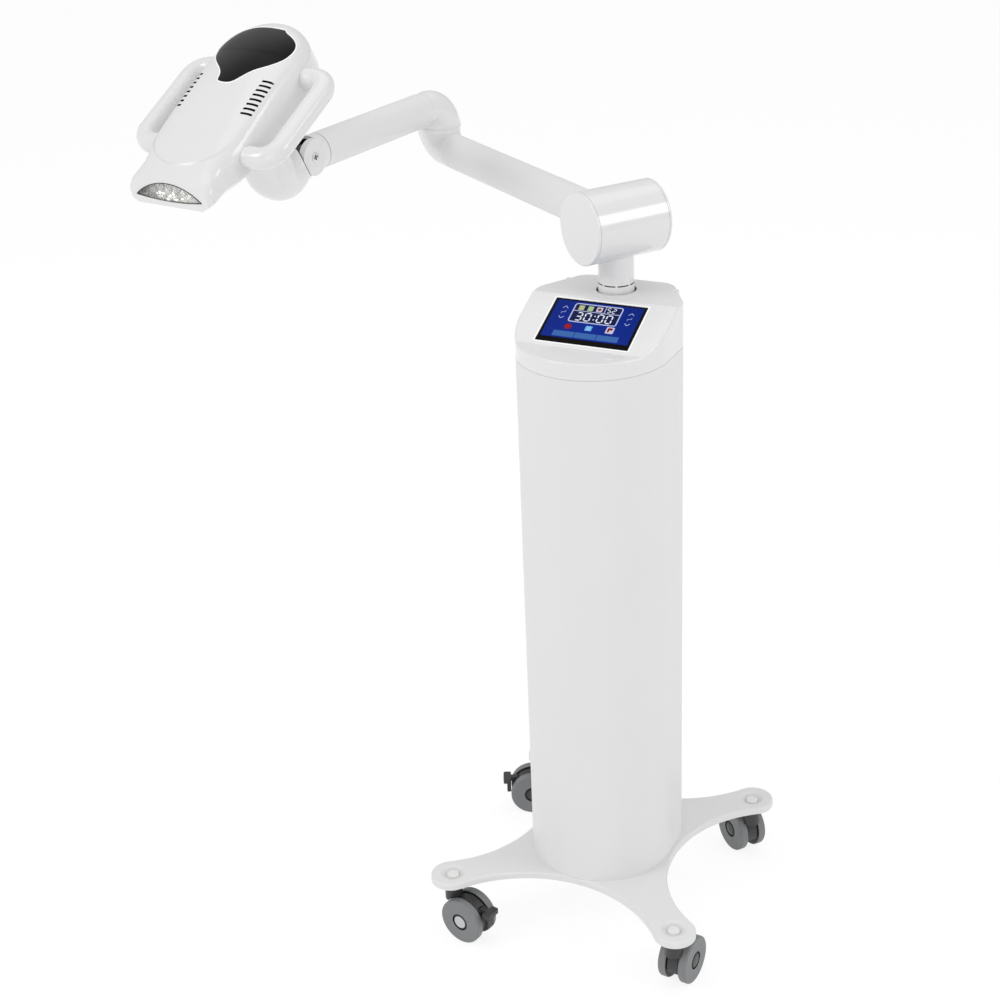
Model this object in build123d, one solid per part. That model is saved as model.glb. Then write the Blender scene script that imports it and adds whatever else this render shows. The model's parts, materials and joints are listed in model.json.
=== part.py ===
from build123d import *
import math
import os

# A teeth whitening lamp on a wheeled stand.
# Millimetres, +Z up. The origin is on the floor under the middle of the base,
# +X runs to the right along the front of the stand, and the screen faces -Y.

# Clearances and the overrun shared by all cuts
OVERRUN = 4.0
RUNNING_GAP = 0.05
SEAT_GAP = 0.3
EASY_GAP = 0.6

# Grooves that show the seams between pieces that meet flush
SEAM_WIDTH = 0.7
SEAM_DEPTH = 1.0

# Base casting: four concave sides that run into four round toes
STEM_OUT = 185.0
TOE_OUT = 187.0
TOE_RADIUS = 32.0
BASE_WAIST_FRONT = 127.0
BASE_WAIST_SIDE = 118.0
BASE_TOP = 108.0
BASE_RIM = 11.0
BASE_EDGE_ROUND = 3.0
DIMPLE_RADIUS = 19.5
DIMPLE_DEPTH = 6.0
LEG_PLUG_RADIUS = 10.0
LEG_PLUG_HEIGHT = 5.0
LEG_DOME_SHARE = 0.8
FOOT_SPIGOT_RADIUS = 20.0
FOOT_SPIGOT_DROP = 4.0

# Castors: twin wheels beside a narrow hood
WHEEL_RADIUS = 37.5
WHEEL_WIDTH = 13.5
WHEEL_EDGE = 3.0
HUB_RECESS_RADIUS = 14.0
HUB_RECESS_DEPTH = 2.5
HUB_CAP_RADIUS = 12.0
HUB_CAP_STAND = 1.5
CASTOR_AXLE_RADIUS = 4.0
HOOD_WIDTH = 17.0
HOOD_GAP = 1.5
HOOD_RADIUS = 34.0
HOOD_FOOT = 27.0
CASTOR_TRAIL = 28.0
STEM_RADIUS = 5.5
STEM_ENGAGE = 10.0
STEM_BOSS_RADIUS = 14.0
TOP_WASHER = 3.0
BRAKE_PIVOT_OUT = 27.0
BRAKE_LEVEL = 59.0
BRAKE_WIDTH = 14.0
BRAKE_REACH = 13.0
BRAKE_THICK = 7.0
BRAKE_TONGUE = 9.0
BRAKE_LINK = 7.0
BRAKE_STEM = 21.0
BRAKE_PIVOT_RADIUS = 2.0
CASTOR_HEADING = {"front_left": -12.5, "front_right": 83.7, "rear_right": 142.0, "rear_left": 205.0}
CASTOR_SIDE = {"front_left": (-1, -1), "front_right": (1, -1), "rear_right": (1, 1), "rear_left": (-1, 1)}
BRAKED = ("front_left", "rear_left")

# Column: half-round front, flat back with canted corners
COLUMN_HALF_WIDTH = 112.0
COLUMN_FRONT_CENTRE = -14.0
COLUMN_SIDE_END = 50.0
COLUMN_BACK = 123.0
COLUMN_BACK_HALF = 70.0
COLUMN_CORNER_ROUND = 28.0
COLUMN_WALL = 2.0
COLUMN_TOP = 945.0

# Cap with its sloping screen face
CAP_LEDGE = 970.0
CAP_TOP = 1012.0
SLOPE_START = -70.0
SLOPE_END = 27.0
CAP_WALL = 3.0
CAP_LIP = 8.0
CAP_EDGE_ROUND = 2.5
POST_HOLE_RADIUS = 29.5
PLUG_RADIUS = 5.0
PLUG_DEPTH = 5.0
PLUG_PLACES = ((-54.0, -91.0), (54.0, -91.0), (-83.0, 95.0), (83.0, 95.0))
SCREEN_LENGTH = 141.0
SCREEN_HEIGHT = 90.0
SCREEN_CORNER = 3.0
SCREEN_CENTRE = -21.5
SCREEN_SINK = 0.5
GLASS_THICK = 2.5
GLASS_LEDGE = 4.0
DISPLAY_DEPTH = 8.0
BOARD_THICK = 1.6
BOARD_STANDOFF = 6.0
STANDOFF_RADIUS = 3.0

# Mast inside the column, and the slotted ring on which the post turns
POST_BACK = 73.0
POST_RADIUS = 26.25
MAST_WALL = 3.0
MAST_TOP = 1022.0
MAST_FLANGE_RADIUS = 46.0
MAST_FLANGE = 8.0
RING_HEIGHT = 3.0
RING_SLOT = 1.8
RING_SLOTS = 8
RING_BRIDGE_ANGLE = 7.0
BUSH_WALL = 1.6
BUSH_LENGTH = 30.0
BUSH_SPACING = 130.0
SPINDLE_WALL = 4.0
SPINDLE_STAND = 26.0
SPINDLE_TAIL = 12.0

# Shoulder: a lying barrel on the post, with a drum that turns in it
SHOULDER_HEIGHT = 1112.0
SHOULDER_HEADING = 54.6
BARREL_RADIUS = 52.9
BARREL_NEAR = 61.1
BARREL_FAR = 62.5
BARREL_WALL = 3.5
BARREL_CAP = 5.0
BARREL_CAP_ROUND = 2.5
BARREL_CAP_HUB = 20.0
SHOULDER_AXLE_RADIUS = 8.0
SHOULDER_AXLE_SINK = 3.0
DRUM_GAP = 0.5
DRUM_WALL = 5.0
DRUM_HUB_RADIUS = 16.0
DRUM_WEB = 24.0
DRUM_HALF = 50.0
ARM_DOWN = 20.0
ARM_UP = 30.0
ARM_SLOT_GAP = 0.8
DISC_THICK = 2.5

# Arms: two tubes, joined by an elbow of two bent halves
ARM_RADIUS = 27.6
ARM_WALL = 2.5
LOWER_ARM = 536.3
ELBOW_TURN = 117.5
FOREARM = 351.0
ELBOW_RISE = 33.6
ELBOW_BARREL_RADIUS = 36.7
ELBOW_NECK_RADIUS = 26.9
ELBOW_PIVOT = 39.0
ELBOW_REACH = 52.0
ELBOW_WALL = 3.5
ELBOW_WEB = 8.0
ELBOW_STEPS = 6
SPIGOT_LENGTH = 22.0
PIN_RADIUS = 15.0
PIN_BORE = 10.0
PIN_FLANGE = 21.0
PIN_FLANGE_THICK = 4.0

# Wrist: a fork on the forearm and a tongue on the elbow under the head
WRIST_PITCH = 29.6
WRIST_DROP = 70.7
FORK_BACK = 31.0
FORK_HALF = 22.0
FORK_SHOULDER = 12.0
TONGUE_HALF = 12.0
TONGUE_RADIUS = 17.0
FORK_SLOT_RADIUS = 24.0
WRIST_PIN_RADIUS = 5.0
WRIST_SCREW_RADIUS = 8.0
WRIST_SCREW_DEPTH = 3.0
WRIST_SCREW_SINK = 0.5
WRIST_TOP_BEVEL = 75.0
WRIST_LOW_BEVEL = 35.0
WRIST_BARREL = 46.0
FORK_TAPER_SHARE = 0.7

# Head: measured from the level of its vent slots on the swivel axis.
# X is across the head, Y runs to its rear and Z is square to its top.
HEAD_RISE = 190.6
HEAD_HALF_WIDTH = 77.5
HEAD_CROWN = 13.0
HEAD_BOTTOM = -62.0
HEAD_NOSE = -192.0
HEAD_WALL = 3.0
HEAD_PARTING = -46.0
HEAD_FOOT_ROUND = 9.0
NECK_RADIUS = 36.7
NECK_WALL = 4.0
BELLY_RADIUS = 52.0
BELLY_DROP = 14.0
# Stations from the nose to the rear at one pitch: half width, crown, side top, bottom
STATION_PITCH = 19.0
HEAD_STATIONS = (
    (67.5, -18.0, -30.0, -42.0),
    (73.0, -10.4, -31.0, -46.5),
    (71.0, -5.2, -28.0, -51.0),
    (68.2, -1.5, -26.0, -56.0),
    (72.0, 2.0, -24.5, -60.0),
    (76.2, 4.5, -25.0, -62.0),
    (77.2, 6.5, -25.5, -62.0),
    (77.5, 8.3, -26.0, -62.0),
    (77.5, 9.8, -26.0, -62.0),
    (77.5, 11.3, -26.0, -62.0),
    (77.5, 12.5, -26.0, -62.0),
    (77.5, 12.9, -26.0, -62.0),
    (77.5, 13.0, -26.0, -62.0),
    (77.5, 13.0, -26.0, -62.0),
    (77.5, 13.0, -26.0, -62.0),
)
# Shares of the half width and of the crown's height over the side
CROWN_SHARES = ((0.97, 0.40), (0.86, 0.71), (0.66, 0.885), (0.36, 0.972))
NOSE_TILT = 24.0
NOSE_FRONT = -178.5
NOSE_FRONT_HEIGHT = -28.0
MOUTH_HALF_WIDTH = 59.5
MOUTH_CORNER = -35.0
MOUTH_ARCH = 21.5
MOUTH_LIP = 4.0
WINDOW_THICK = 2.0
WINDOW_SINK = 1.0
REFLECTOR_DEPTH = 10.0
REFLECTOR_WALL = 1.2
LENS_RADIUS = 6.5
LENS_BASE = 5.0
LENS_COUNT = 6
LENS_DOME_SHARE = 0.8
LENS_ARCH_SHARE = 0.5
LED_BOARD_THICK = 2.0
SINK_BASE = 4.0
SINK_DEPTH = 14.0
SINK_FINS = 9
SINK_FIN = 2.0
SINK_HEIGHT_SHARE = 0.35
VENT_OUT = 61.6
VENT_FIRST = 21.4
VENT_PITCH = 8.8
VENT_COUNT = 8
VENT_LENGTH = 14.5
VENT_WIDTH = 3.5
VENT_SLANT = 17.0
PANEL_SINK = 1.2
PANEL_TIP = 3.0
PANEL_REAR = 124.0
PANEL_HALF_WIDTH = 65.0
PANEL_SHARES = ((0.30, 0.11), (0.48, 0.24), (0.72, 0.35), (0.93, 0.50), (1.0, 0.66), (0.86, 0.85),
                (0.5, 0.965))
HANDLE_RADIUS = 15.5
HANDLE_WALL = 3.0
HANDLE_OUT = 121.0
HANDLE_LEVEL = -33.0
HANDLE_REAR = 74.0
HANDLE_FRONT = -86.0
HANDLE_BEND = 26.0
FAN_SIZE = 60.0
FAN_DEPTH = 15.0
FAN_PLACE = 62.0
FAN_BORE = 27.0
FAN_HUB = 13.0
FAN_BLADES = 7
FAN_BLADE = 1.5
FAN_POST_RADIUS = 3.0
FAN_POST_HEIGHT = 6.0
FAN_AXLE_RADIUS = 2.0
FAN_BLADE_SHARE = 0.8
FAN_BLADE_TWIST = 45.0

# Inside the column and on its back
BALLAST_HALF_WIDTH = 88.0
BALLAST_FRONT = -78.0
BALLAST_BACK = 18.0
BALLAST_HEIGHT = 52.0
SUPPLY_LENGTH = 110.0
SUPPLY_WIDTH = 62.0
SUPPLY_HEIGHT = 38.0
INLET_LEVEL = 180.0
INLET_WIDTH = 50.0
INLET_HEIGHT = 62.0
INLET_FLANGE = 5.0
INLET_FLANGE_THICK = 2.0
INLET_DEPTH = 20.0
SOCKET_WIDTH = 26.0
SOCKET_HEIGHT = 18.0
SOCKET_DEPTH = 16.0
SOCKET_DROP = 14.0
PIN_BLADE = 3.5
PIN_BLADE_THICK = 1.8
PIN_PITCH = 7.0
ROCKER_WIDTH = 20.0
ROCKER_HEIGHT = 14.0
ROCKER_RISE = 16.0
ROCKER_DEPTH = 9.0
ROCKER_PIVOT_RADIUS = 1.5
# Shares of the socket's depth, and of the rocker's depth and half height
BLADE_SHARE = 0.7
ROCKER_THICK_SHARE = 0.6
ROCKER_SIDE_SHARES = ((0.25, -1.0), (0.1, 0.0), (0.6, 1.0), (-0.3, 0.9), (-0.5, 0.0), (-0.3, -0.9))


def heading(degrees):
    return Vector(math.cos(math.radians(degrees)), math.sin(math.radians(degrees)), 0)


UP = Vector(0, 0, 1)
SHOULDER_AXIS = heading(SHOULDER_HEADING)
LOWER_ARM_WAY = heading(SHOULDER_HEADING + 90)
FOREARM_WAY = heading(SHOULDER_HEADING + 90 + ELBOW_TURN)
WRIST_AXIS = heading(SHOULDER_HEADING + 180 + ELBOW_TURN)
SHOULDER = Vector(0, POST_BACK, SHOULDER_HEIGHT)
ELBOW = SHOULDER + LOWER_ARM_WAY * LOWER_ARM
ELBOW_SEAM = ELBOW + UP * ELBOW_RISE
WRIST = ELBOW + UP * (2 * ELBOW_RISE) + FOREARM_WAY * FOREARM
WRIST_WAY = (FOREARM_WAY * math.cos(math.radians(WRIST_PITCH))
             - UP * math.sin(math.radians(WRIST_PITCH)))
HEAD_UP = (UP * math.cos(math.radians(WRIST_PITCH))
           + FOREARM_WAY * math.sin(math.radians(WRIST_PITCH)))
NECK_FOOT = WRIST + WRIST_WAY * WRIST_DROP
WRIST_SEAM = NECK_FOOT + HEAD_UP * ELBOW_RISE
HEAD_ORIGIN = NECK_FOOT + HEAD_UP * HEAD_RISE
HEAD_SEAM = ELBOW_RISE + WRIST_BARREL - HEAD_RISE

SHOULDER_FRAME = Plane(origin=SHOULDER, x_dir=LOWER_ARM_WAY, z_dir=SHOULDER_AXIS)
LOWER_ELBOW_FRAME = Plane(origin=ELBOW_SEAM, x_dir=-LOWER_ARM_WAY, z_dir=-UP)
UPPER_ELBOW_FRAME = Plane(origin=ELBOW_SEAM, x_dir=FOREARM_WAY, z_dir=UP)
WRIST_FRAME = Plane(origin=WRIST, x_dir=FOREARM_WAY, z_dir=UP)
WRIST_ELBOW_FRAME = Plane(origin=WRIST_SEAM, x_dir=-WRIST_WAY, z_dir=-HEAD_UP)
HEAD_FRAME = Plane(origin=HEAD_ORIGIN, x_dir=WRIST_AXIS, z_dir=HEAD_UP)
SLOPE_ANGLE = math.degrees(math.atan2(CAP_TOP - CAP_LEDGE, SLOPE_END - SLOPE_START))


def block(x_range, y_range, z_range):
    """A box from its low and high places along each axis."""
    low = Vector(x_range[0], y_range[0], z_range[0])
    size = Vector(x_range[1], y_range[1], z_range[1]) - low
    return Location(low + size / 2) * Box(size.X, size.Y, size.Z)


def rod(radius, start, end):
    """An upright cylinder between two levels."""
    return Pos(0, 0, (start + end) / 2) * Cylinder(radius, end - start)


def pipe(radius, bore, start, end):
    return rod(radius, start, end) - rod(bore, start - OVERRUN, end + OVERRUN)


def seam_groove(radius, start, end):
    """A ring that takes the outer edge off a round end."""
    return pipe(radius + OVERRUN, radius - SEAM_DEPTH, start, end)


def both_ways(face, half):
    return extrude(face, amount=half, both=True)


# Base

def base_outline():
    """Four concave arcs, each tangent to the round toes at its ends."""
    def side(waist, turn):
        reach = TOE_OUT - waist
        radius = (TOE_OUT**2 + reach**2 - TOE_RADIUS**2) / (2 * (TOE_RADIUS + reach))
        centre = Vector(0, -waist - radius, 0)
        toes = [Vector(-TOE_OUT, -TOE_OUT, 0), Vector(TOE_OUT, -TOE_OUT, 0)]
        ends = [toe + (centre - toe).normalized() * TOE_RADIUS for toe in toes]
        points = [ends[0], Vector(0, -waist, 0), ends[1]]
        return [point.rotate(Axis.Z, turn) for point in points]
    arcs = [side(BASE_WAIST_FRONT, 0), side(BASE_WAIST_SIDE, 90),
            side(BASE_WAIST_FRONT, 180), side(BASE_WAIST_SIDE, 270)]
    edges = [ThreePointArc(*points) for points in arcs]
    tip = TOE_OUT + TOE_RADIUS * math.sqrt(0.5)
    for number, points in enumerate(arcs):
        crown = Vector(tip, -tip, 0).rotate(Axis.Z, 90 * number)
        edges.append(ThreePointArc(points[2], crown, arcs[(number + 1) % len(arcs)][0]))
    return make_face(edges)


def stem_places():
    return {name: Vector(sx * STEM_OUT, sy * STEM_OUT, 0) for name, (sx, sy) in CASTOR_SIDE.items()}


def base_plate():
    plate = extrude(base_outline(), amount=BASE_RIM)
    plate = Pos(0, 0, BASE_TOP - BASE_RIM) * plate
    plate = fillet(plate.edges().group_by(Axis.Z)[-1], BASE_EDGE_ROUND)
    boss = rod(FOOT_SPIGOT_RADIUS, BASE_TOP - BASE_RIM - FOOT_SPIGOT_DROP, BASE_TOP - BASE_RIM)
    for place in stem_places().values():
        plate += Location(place) * boss
    floor = BASE_TOP - DIMPLE_DEPTH
    bowl_radius = (DIMPLE_RADIUS**2 + DIMPLE_DEPTH**2) / (2 * DIMPLE_DEPTH)
    dimple = Pos(0, 0, floor + bowl_radius) * Sphere(bowl_radius)
    dimple += rod(LEG_PLUG_RADIUS + SEAT_GAP, floor, BASE_TOP)
    for place in stem_places().values():
        plate -= Location(place) * dimple
        plate -= Location(place) * rod(STEM_RADIUS, 0, floor)
    return plate


def leg_plugs():
    """Domed buttons that stand in the dimples."""
    dome = Pos(0, 0, BASE_TOP - DIMPLE_DEPTH) * Cylinder(
        LEG_PLUG_RADIUS, LEG_PLUG_HEIGHT, align=(Align.CENTER, Align.CENTER, Align.MIN))
    dome = fillet(dome.edges().group_by(Axis.Z)[-1], LEG_PLUG_HEIGHT * LEG_DOME_SHARE)
    return [Location(place) * dome for place in stem_places().values()]


# Castors, each modelled with its stem on Z and its wheels towards +X

STEM_FOOT = WHEEL_RADIUS + HOOD_RADIUS
STEM_TOP = BASE_TOP - DIMPLE_DEPTH
HOOD_TOP = BASE_TOP - BASE_RIM - FOOT_SPIGOT_DROP


def wheel_frame():
    """At the wheel centre, with Z along the axle."""
    return Plane(origin=(CASTOR_TRAIL, 0, WHEEL_RADIUS), x_dir=(1, 0, 0), z_dir=(0, -1, 0))


def castor_stem():
    return rod(STEM_RADIUS, STEM_FOOT - STEM_ENGAGE, STEM_TOP)


def castor_hood(braked):
    """A strip round the wheels' upper edge with its hub and a stem boss."""
    frame = wheel_frame()
    strip = frame * Cylinder(HOOD_RADIUS, HOOD_WIDTH)
    strip &= block((CASTOR_TRAIL - HOOD_RADIUS, CASTOR_TRAIL + HOOD_RADIUS), (-HOOD_WIDTH, HOOD_WIDTH),
                   (HOOD_FOOT, STEM_FOOT))
    wheel_space = frame * Cylinder(WHEEL_RADIUS + EASY_GAP, 2 * WHEEL_RADIUS)
    wheel_space -= frame * Cylinder(WHEEL_RADIUS + 2 * EASY_GAP, HOOD_WIDTH)
    boss = rod(STEM_BOSS_RADIUS, STEM_FOOT - STEM_ENGAGE, HOOD_TOP - TOP_WASHER)
    hood = strip + (boss - wheel_space)
    if braked:
        hood -= brake_room()
    hood -= frame * Cylinder(CASTOR_AXLE_RADIUS + RUNNING_GAP, 2 * HOOD_WIDTH)
    return hood - rod(STEM_RADIUS + RUNNING_GAP, STEM_FOOT - STEM_ENGAGE, HOOD_TOP)


def castor_washer():
    return pipe(STEM_BOSS_RADIUS, STEM_RADIUS + RUNNING_GAP, HOOD_TOP - TOP_WASHER, HOOD_TOP)


def castor_axle():
    length = HOOD_WIDTH + 2 * HOOD_GAP + 2 * (WHEEL_WIDTH - HUB_RECESS_DEPTH)
    return wheel_frame() * Cylinder(CASTOR_AXLE_RADIUS, length)


def castor_wheel(side):
    """One wheel with rounded treads and a recessed hub cap."""
    inner = HOOD_WIDTH / 2 + HOOD_GAP
    outer = inner + WHEEL_WIDTH
    floor = outer - HUB_RECESS_DEPTH
    wheel = rod(WHEEL_RADIUS, inner, outer)
    wheel = fillet(wheel.edges(), WHEEL_EDGE)
    wheel -= rod(HUB_RECESS_RADIUS, floor, outer + OVERRUN)
    wheel -= rod(CASTOR_AXLE_RADIUS, inner - OVERRUN, floor)
    wheel += rod(HUB_CAP_RADIUS, floor, floor + HUB_CAP_STAND)
    turned = wheel if side > 0 else Rot(180, 0, 0) * wheel
    return wheel_frame() * turned


def brake_pivot():
    return Vector(CASTOR_TRAIL + BRAKE_PIVOT_OUT, 0, BRAKE_LEVEL)


def brake_rod(radius, half):
    return Location(brake_pivot()) * (Rot(90, 0, 0) * Cylinder(radius, 2 * half))


def brake_room():
    """The notch for the lever's tongue, the bores for its pin and the space its link swings in."""
    hub = BRAKE_THICK / 2 + EASY_GAP
    end = CASTOR_TRAIL + 2 * HOOD_RADIUS
    half = BRAKE_TONGUE / 2 + SEAT_GAP
    notch = block((brake_pivot().X - hub, end), (-half, half), (BRAKE_LEVEL - BRAKE_THICK, STEM_FOOT))
    swing = block((brake_pivot().X + BRAKE_THICK / 2, end), (-HOOD_WIDTH, HOOD_WIDTH),
                  (0, BRAKE_LEVEL - BRAKE_THICK / 2 - EASY_GAP))
    return notch + swing + brake_rod(BRAKE_PIVOT_RADIUS + RUNNING_GAP, HOOD_WIDTH)


def castor_brake():
    """A lever behind the wheels: a tongue on its pin, a wide toe plate and a drop link."""
    pivot = brake_pivot()
    start = CASTOR_TRAIL + WHEEL_RADIUS
    low = BRAKE_LEVEL - BRAKE_THICK / 2
    high = BRAKE_LEVEL + BRAKE_THICK / 2
    plate = block((start, start + BRAKE_REACH), (-BRAKE_WIDTH, BRAKE_WIDTH), (low, high))
    plate = fillet(plate.edges().filter_by(Axis.Z), BRAKE_THICK / 2)
    link = block((start + SEAT_GAP, start + BRAKE_THICK), (-BRAKE_LINK, BRAKE_LINK), (low - BRAKE_STEM, low))
    tongue = block((pivot.X, start + BRAKE_THICK), (-BRAKE_TONGUE / 2, BRAKE_TONGUE / 2), (low, high))
    lever = plate + link + tongue + brake_rod(BRAKE_THICK / 2, BRAKE_TONGUE / 2)
    return lever + brake_rod(BRAKE_PIVOT_RADIUS, HOOD_WIDTH / 2)


def placed_castor(name, shape):
    return Location(stem_places()[name]) * (Rot(0, 0, CASTOR_HEADING[name]) * shape)


# Column

def column_plan(inset=0):
    half = COLUMN_HALF_WIDTH
    front = ThreePointArc((-half, COLUMN_FRONT_CENTRE), (0, COLUMN_FRONT_CENTRE - half),
                          (half, COLUMN_FRONT_CENTRE))
    back = Polyline((half, COLUMN_FRONT_CENTRE), (half, COLUMN_SIDE_END), (COLUMN_BACK_HALF, COLUMN_BACK),
                    (-COLUMN_BACK_HALF, COLUMN_BACK), (-half, COLUMN_SIDE_END), (-half, COLUMN_FRONT_CENTRE))
    plan = make_face([front, back])
    corners = [corner for corner in plan.vertices() if corner.Y > COLUMN_SIDE_END - OVERRUN]
    plan = fillet(corners, COLUMN_CORNER_ROUND)
    if inset:
        plan = offset(plan, amount=-inset)
    return plan


def column_prism(inset, start, end):
    return Pos(0, 0, start) * extrude(column_plan(inset), amount=end - start)


def inlet_place():
    return Vector(0, COLUMN_BACK, INLET_LEVEL)


def column_shell():
    shell = column_prism(0, BASE_TOP, COLUMN_TOP)
    shell -= column_prism(COLUMN_WALL, BASE_TOP - OVERRUN, COLUMN_TOP + OVERRUN)
    shell -= Location(inlet_place()) * Box(INLET_WIDTH + 2 * SEAT_GAP, 2 * INLET_DEPTH,
                                           INLET_HEIGHT + 2 * SEAT_GAP)
    return shell


def ballast_block():
    slab = block((-BALLAST_HALF_WIDTH, BALLAST_HALF_WIDTH), (BALLAST_FRONT, BALLAST_BACK),
                 (BASE_TOP, BASE_TOP + BALLAST_HEIGHT))
    return slab & column_prism(COLUMN_WALL + EASY_GAP, BASE_TOP, BASE_TOP + BALLAST_HEIGHT)


def power_supply():
    top = BASE_TOP + BALLAST_HEIGHT
    middle = (BALLAST_FRONT + BALLAST_BACK) / 2
    return block((-SUPPLY_LENGTH / 2, SUPPLY_LENGTH / 2),
                 (middle - SUPPLY_WIDTH / 2, middle + SUPPLY_WIDTH / 2), (top, top + SUPPLY_HEIGHT))


def inlet_housing():
    """The flanged frame in the column's back that holds the socket and the switch."""
    place = Location(inlet_place())
    flange = Pos(0, INLET_FLANGE_THICK / 2, 0) * Box(
        INLET_WIDTH + 2 * INLET_FLANGE, INLET_FLANGE_THICK, INLET_HEIGHT + 2 * INLET_FLANGE)
    body = Pos(0, -INLET_DEPTH / 2, 0) * Box(INLET_WIDTH, INLET_DEPTH, INLET_HEIGHT)
    socket = Pos(0, INLET_FLANGE_THICK - SOCKET_DEPTH / 2, -SOCKET_DROP) * Box(
        SOCKET_WIDTH, SOCKET_DEPTH, SOCKET_HEIGHT)
    well = Pos(0, INLET_FLANGE_THICK - ROCKER_DEPTH / 2, ROCKER_RISE) * Box(
        ROCKER_WIDTH + 2 * EASY_GAP, ROCKER_DEPTH, ROCKER_HEIGHT + 4 * EASY_GAP)
    return place * (flange + body - socket - well)


def inlet_pins():
    """Three blades that stand in the socket."""
    reach = SOCKET_DEPTH * BLADE_SHARE
    blade = Box(PIN_BLADE_THICK, reach, PIN_BLADE)
    depth = INLET_FLANGE_THICK - SOCKET_DEPTH + reach / 2
    places = [(-PIN_PITCH, -SOCKET_DROP - PIN_BLADE / 2), (PIN_PITCH, -SOCKET_DROP - PIN_BLADE / 2),
              (0, -SOCKET_DROP + PIN_BLADE)]
    return [Location(inlet_place()) * (Pos(x, depth, z) * blade) for x, z in places]


def power_rocker():
    """A rocker with a shallow V face on its pivot pin."""
    half = ROCKER_HEIGHT / 2
    depth = ROCKER_DEPTH * ROCKER_THICK_SHARE
    face = make_face(Polyline(*[(0, depth * y, half * z) for y, z in ROCKER_SIDE_SHARES], close=True))
    rocker = extrude(face, amount=ROCKER_WIDTH / 2, both=True)
    pin = Rot(0, 90, 0) * Cylinder(ROCKER_PIVOT_RADIUS, ROCKER_WIDTH + 2 * EASY_GAP - 2 * RUNNING_GAP)
    return Location(inlet_place() + UP * ROCKER_RISE) * (rocker + pin)


# Cap and screen

def cap_side(drop=0):
    """The cap's side view: a ledge, the sloping face and the flat top."""
    reach = COLUMN_BACK + OVERRUN
    return both_ways(make_face(Polyline(
        (0, -reach - COLUMN_HALF_WIDTH, COLUMN_TOP - CAP_LIP - OVERRUN),
        (0, -reach - COLUMN_HALF_WIDTH, CAP_LEDGE - drop),
        (0, SLOPE_START, CAP_LEDGE - drop),
        (0, SLOPE_END, CAP_TOP - drop),
        (0, reach, CAP_TOP - drop),
        (0, reach, COLUMN_TOP - CAP_LIP - OVERRUN), close=True)), 2 * COLUMN_HALF_WIDTH)


def screen_frame():
    """On the sloping face at the screen's centre, with Y up the slope."""
    rise = (SCREEN_CENTRE - SLOPE_START) * math.tan(math.radians(SLOPE_ANGLE))
    return Plane(origin=(0, SCREEN_CENTRE, CAP_LEDGE + rise), x_dir=(1, 0, 0),
                 z_dir=(0, -math.sin(math.radians(SLOPE_ANGLE)), math.cos(math.radians(SLOPE_ANGLE))))


def screen_slab(length, height, start, end, corner=0):
    sketch = RectangleRounded(length, height, corner) if corner else Rectangle(length, height)
    return screen_frame() * (Pos(0, 0, start) * extrude(sketch, amount=end - start))


def top_cap():
    outer = column_prism(0, COLUMN_TOP, CAP_TOP) & cap_side()
    shoulder_edges = outer.edges().filter_by(lambda edge: edge.center().Z > COLUMN_TOP + CAP_LIP / 2)
    outer = fillet([edge for edge in shoulder_edges if not is_crease(edge)], CAP_EDGE_ROUND)
    lip = column_prism(COLUMN_WALL + SEAT_GAP, COLUMN_TOP - CAP_LIP, COLUMN_TOP)
    room = column_prism(COLUMN_WALL + SEAT_GAP + CAP_WALL, COLUMN_TOP - CAP_LIP - OVERRUN, CAP_TOP)
    room = room & cap_side(CAP_WALL)
    cap = outer + lip - room
    band = column_prism(0, COLUMN_TOP, COLUMN_TOP + SEAM_WIDTH)
    cap -= band - column_prism(SEAM_DEPTH, COLUMN_TOP, COLUMN_TOP + SEAM_WIDTH)
    cap -= Pos(0, POST_BACK, 0) * rod(POST_HOLE_RADIUS, COLUMN_TOP, CAP_TOP + OVERRUN)
    glass_floor = -SCREEN_SINK - GLASS_THICK
    pad = screen_slab(SCREEN_LENGTH + 4 * CAP_WALL, SCREEN_HEIGHT + 2 * CAP_WALL,
                      glass_floor - CAP_WALL, -SCREEN_SINK - SEAT_GAP)
    cap += pad & outer
    cap -= screen_slab(SCREEN_LENGTH + 2 * SEAT_GAP, SCREEN_HEIGHT + 2 * SEAT_GAP, glass_floor, OVERRUN,
                       SCREEN_CORNER)
    cap -= screen_slab(SCREEN_LENGTH - 2 * GLASS_LEDGE, SCREEN_HEIGHT - 2 * GLASS_LEDGE,
                       glass_floor - 2 * CAP_WALL, OVERRUN)
    for x, y in PLUG_PLACES:
        top = CAP_LEDGE if y < 0 else CAP_TOP
        boss = Pos(x, y, 0) * rod(PLUG_RADIUS + CAP_WALL, top - PLUG_DEPTH - CAP_WALL, top - CAP_WALL)
        cap += boss & outer
        cap -= Pos(x, y, 0) * rod(PLUG_RADIUS, top - PLUG_DEPTH, top + OVERRUN)
    return cap


def is_crease(edge):
    """The straight edges across the cap, which stay crisp."""
    return edge.geom_type == GeomType.LINE and abs((edge @ 1 - edge @ 0).Y) < SEAT_GAP


def cap_plugs():
    plugs = []
    for x, y in PLUG_PLACES:
        top = CAP_LEDGE if y < 0 else CAP_TOP
        plugs.append(Pos(x, y, 0) * rod(PLUG_RADIUS, top - PLUG_DEPTH, top - SEAT_GAP))
    return plugs


def screen_glass():
    return screen_slab(SCREEN_LENGTH, SCREEN_HEIGHT, -SCREEN_SINK - GLASS_THICK, -SCREEN_SINK, SCREEN_CORNER)


DISPLAY_TOP = -SCREEN_SINK - GLASS_THICK


def display_module():
    margin = 2 * GLASS_LEDGE + 2 * EASY_GAP
    return screen_slab(SCREEN_LENGTH - margin, SCREEN_HEIGHT - margin,
                       DISPLAY_TOP - DISPLAY_DEPTH, DISPLAY_TOP)


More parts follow.
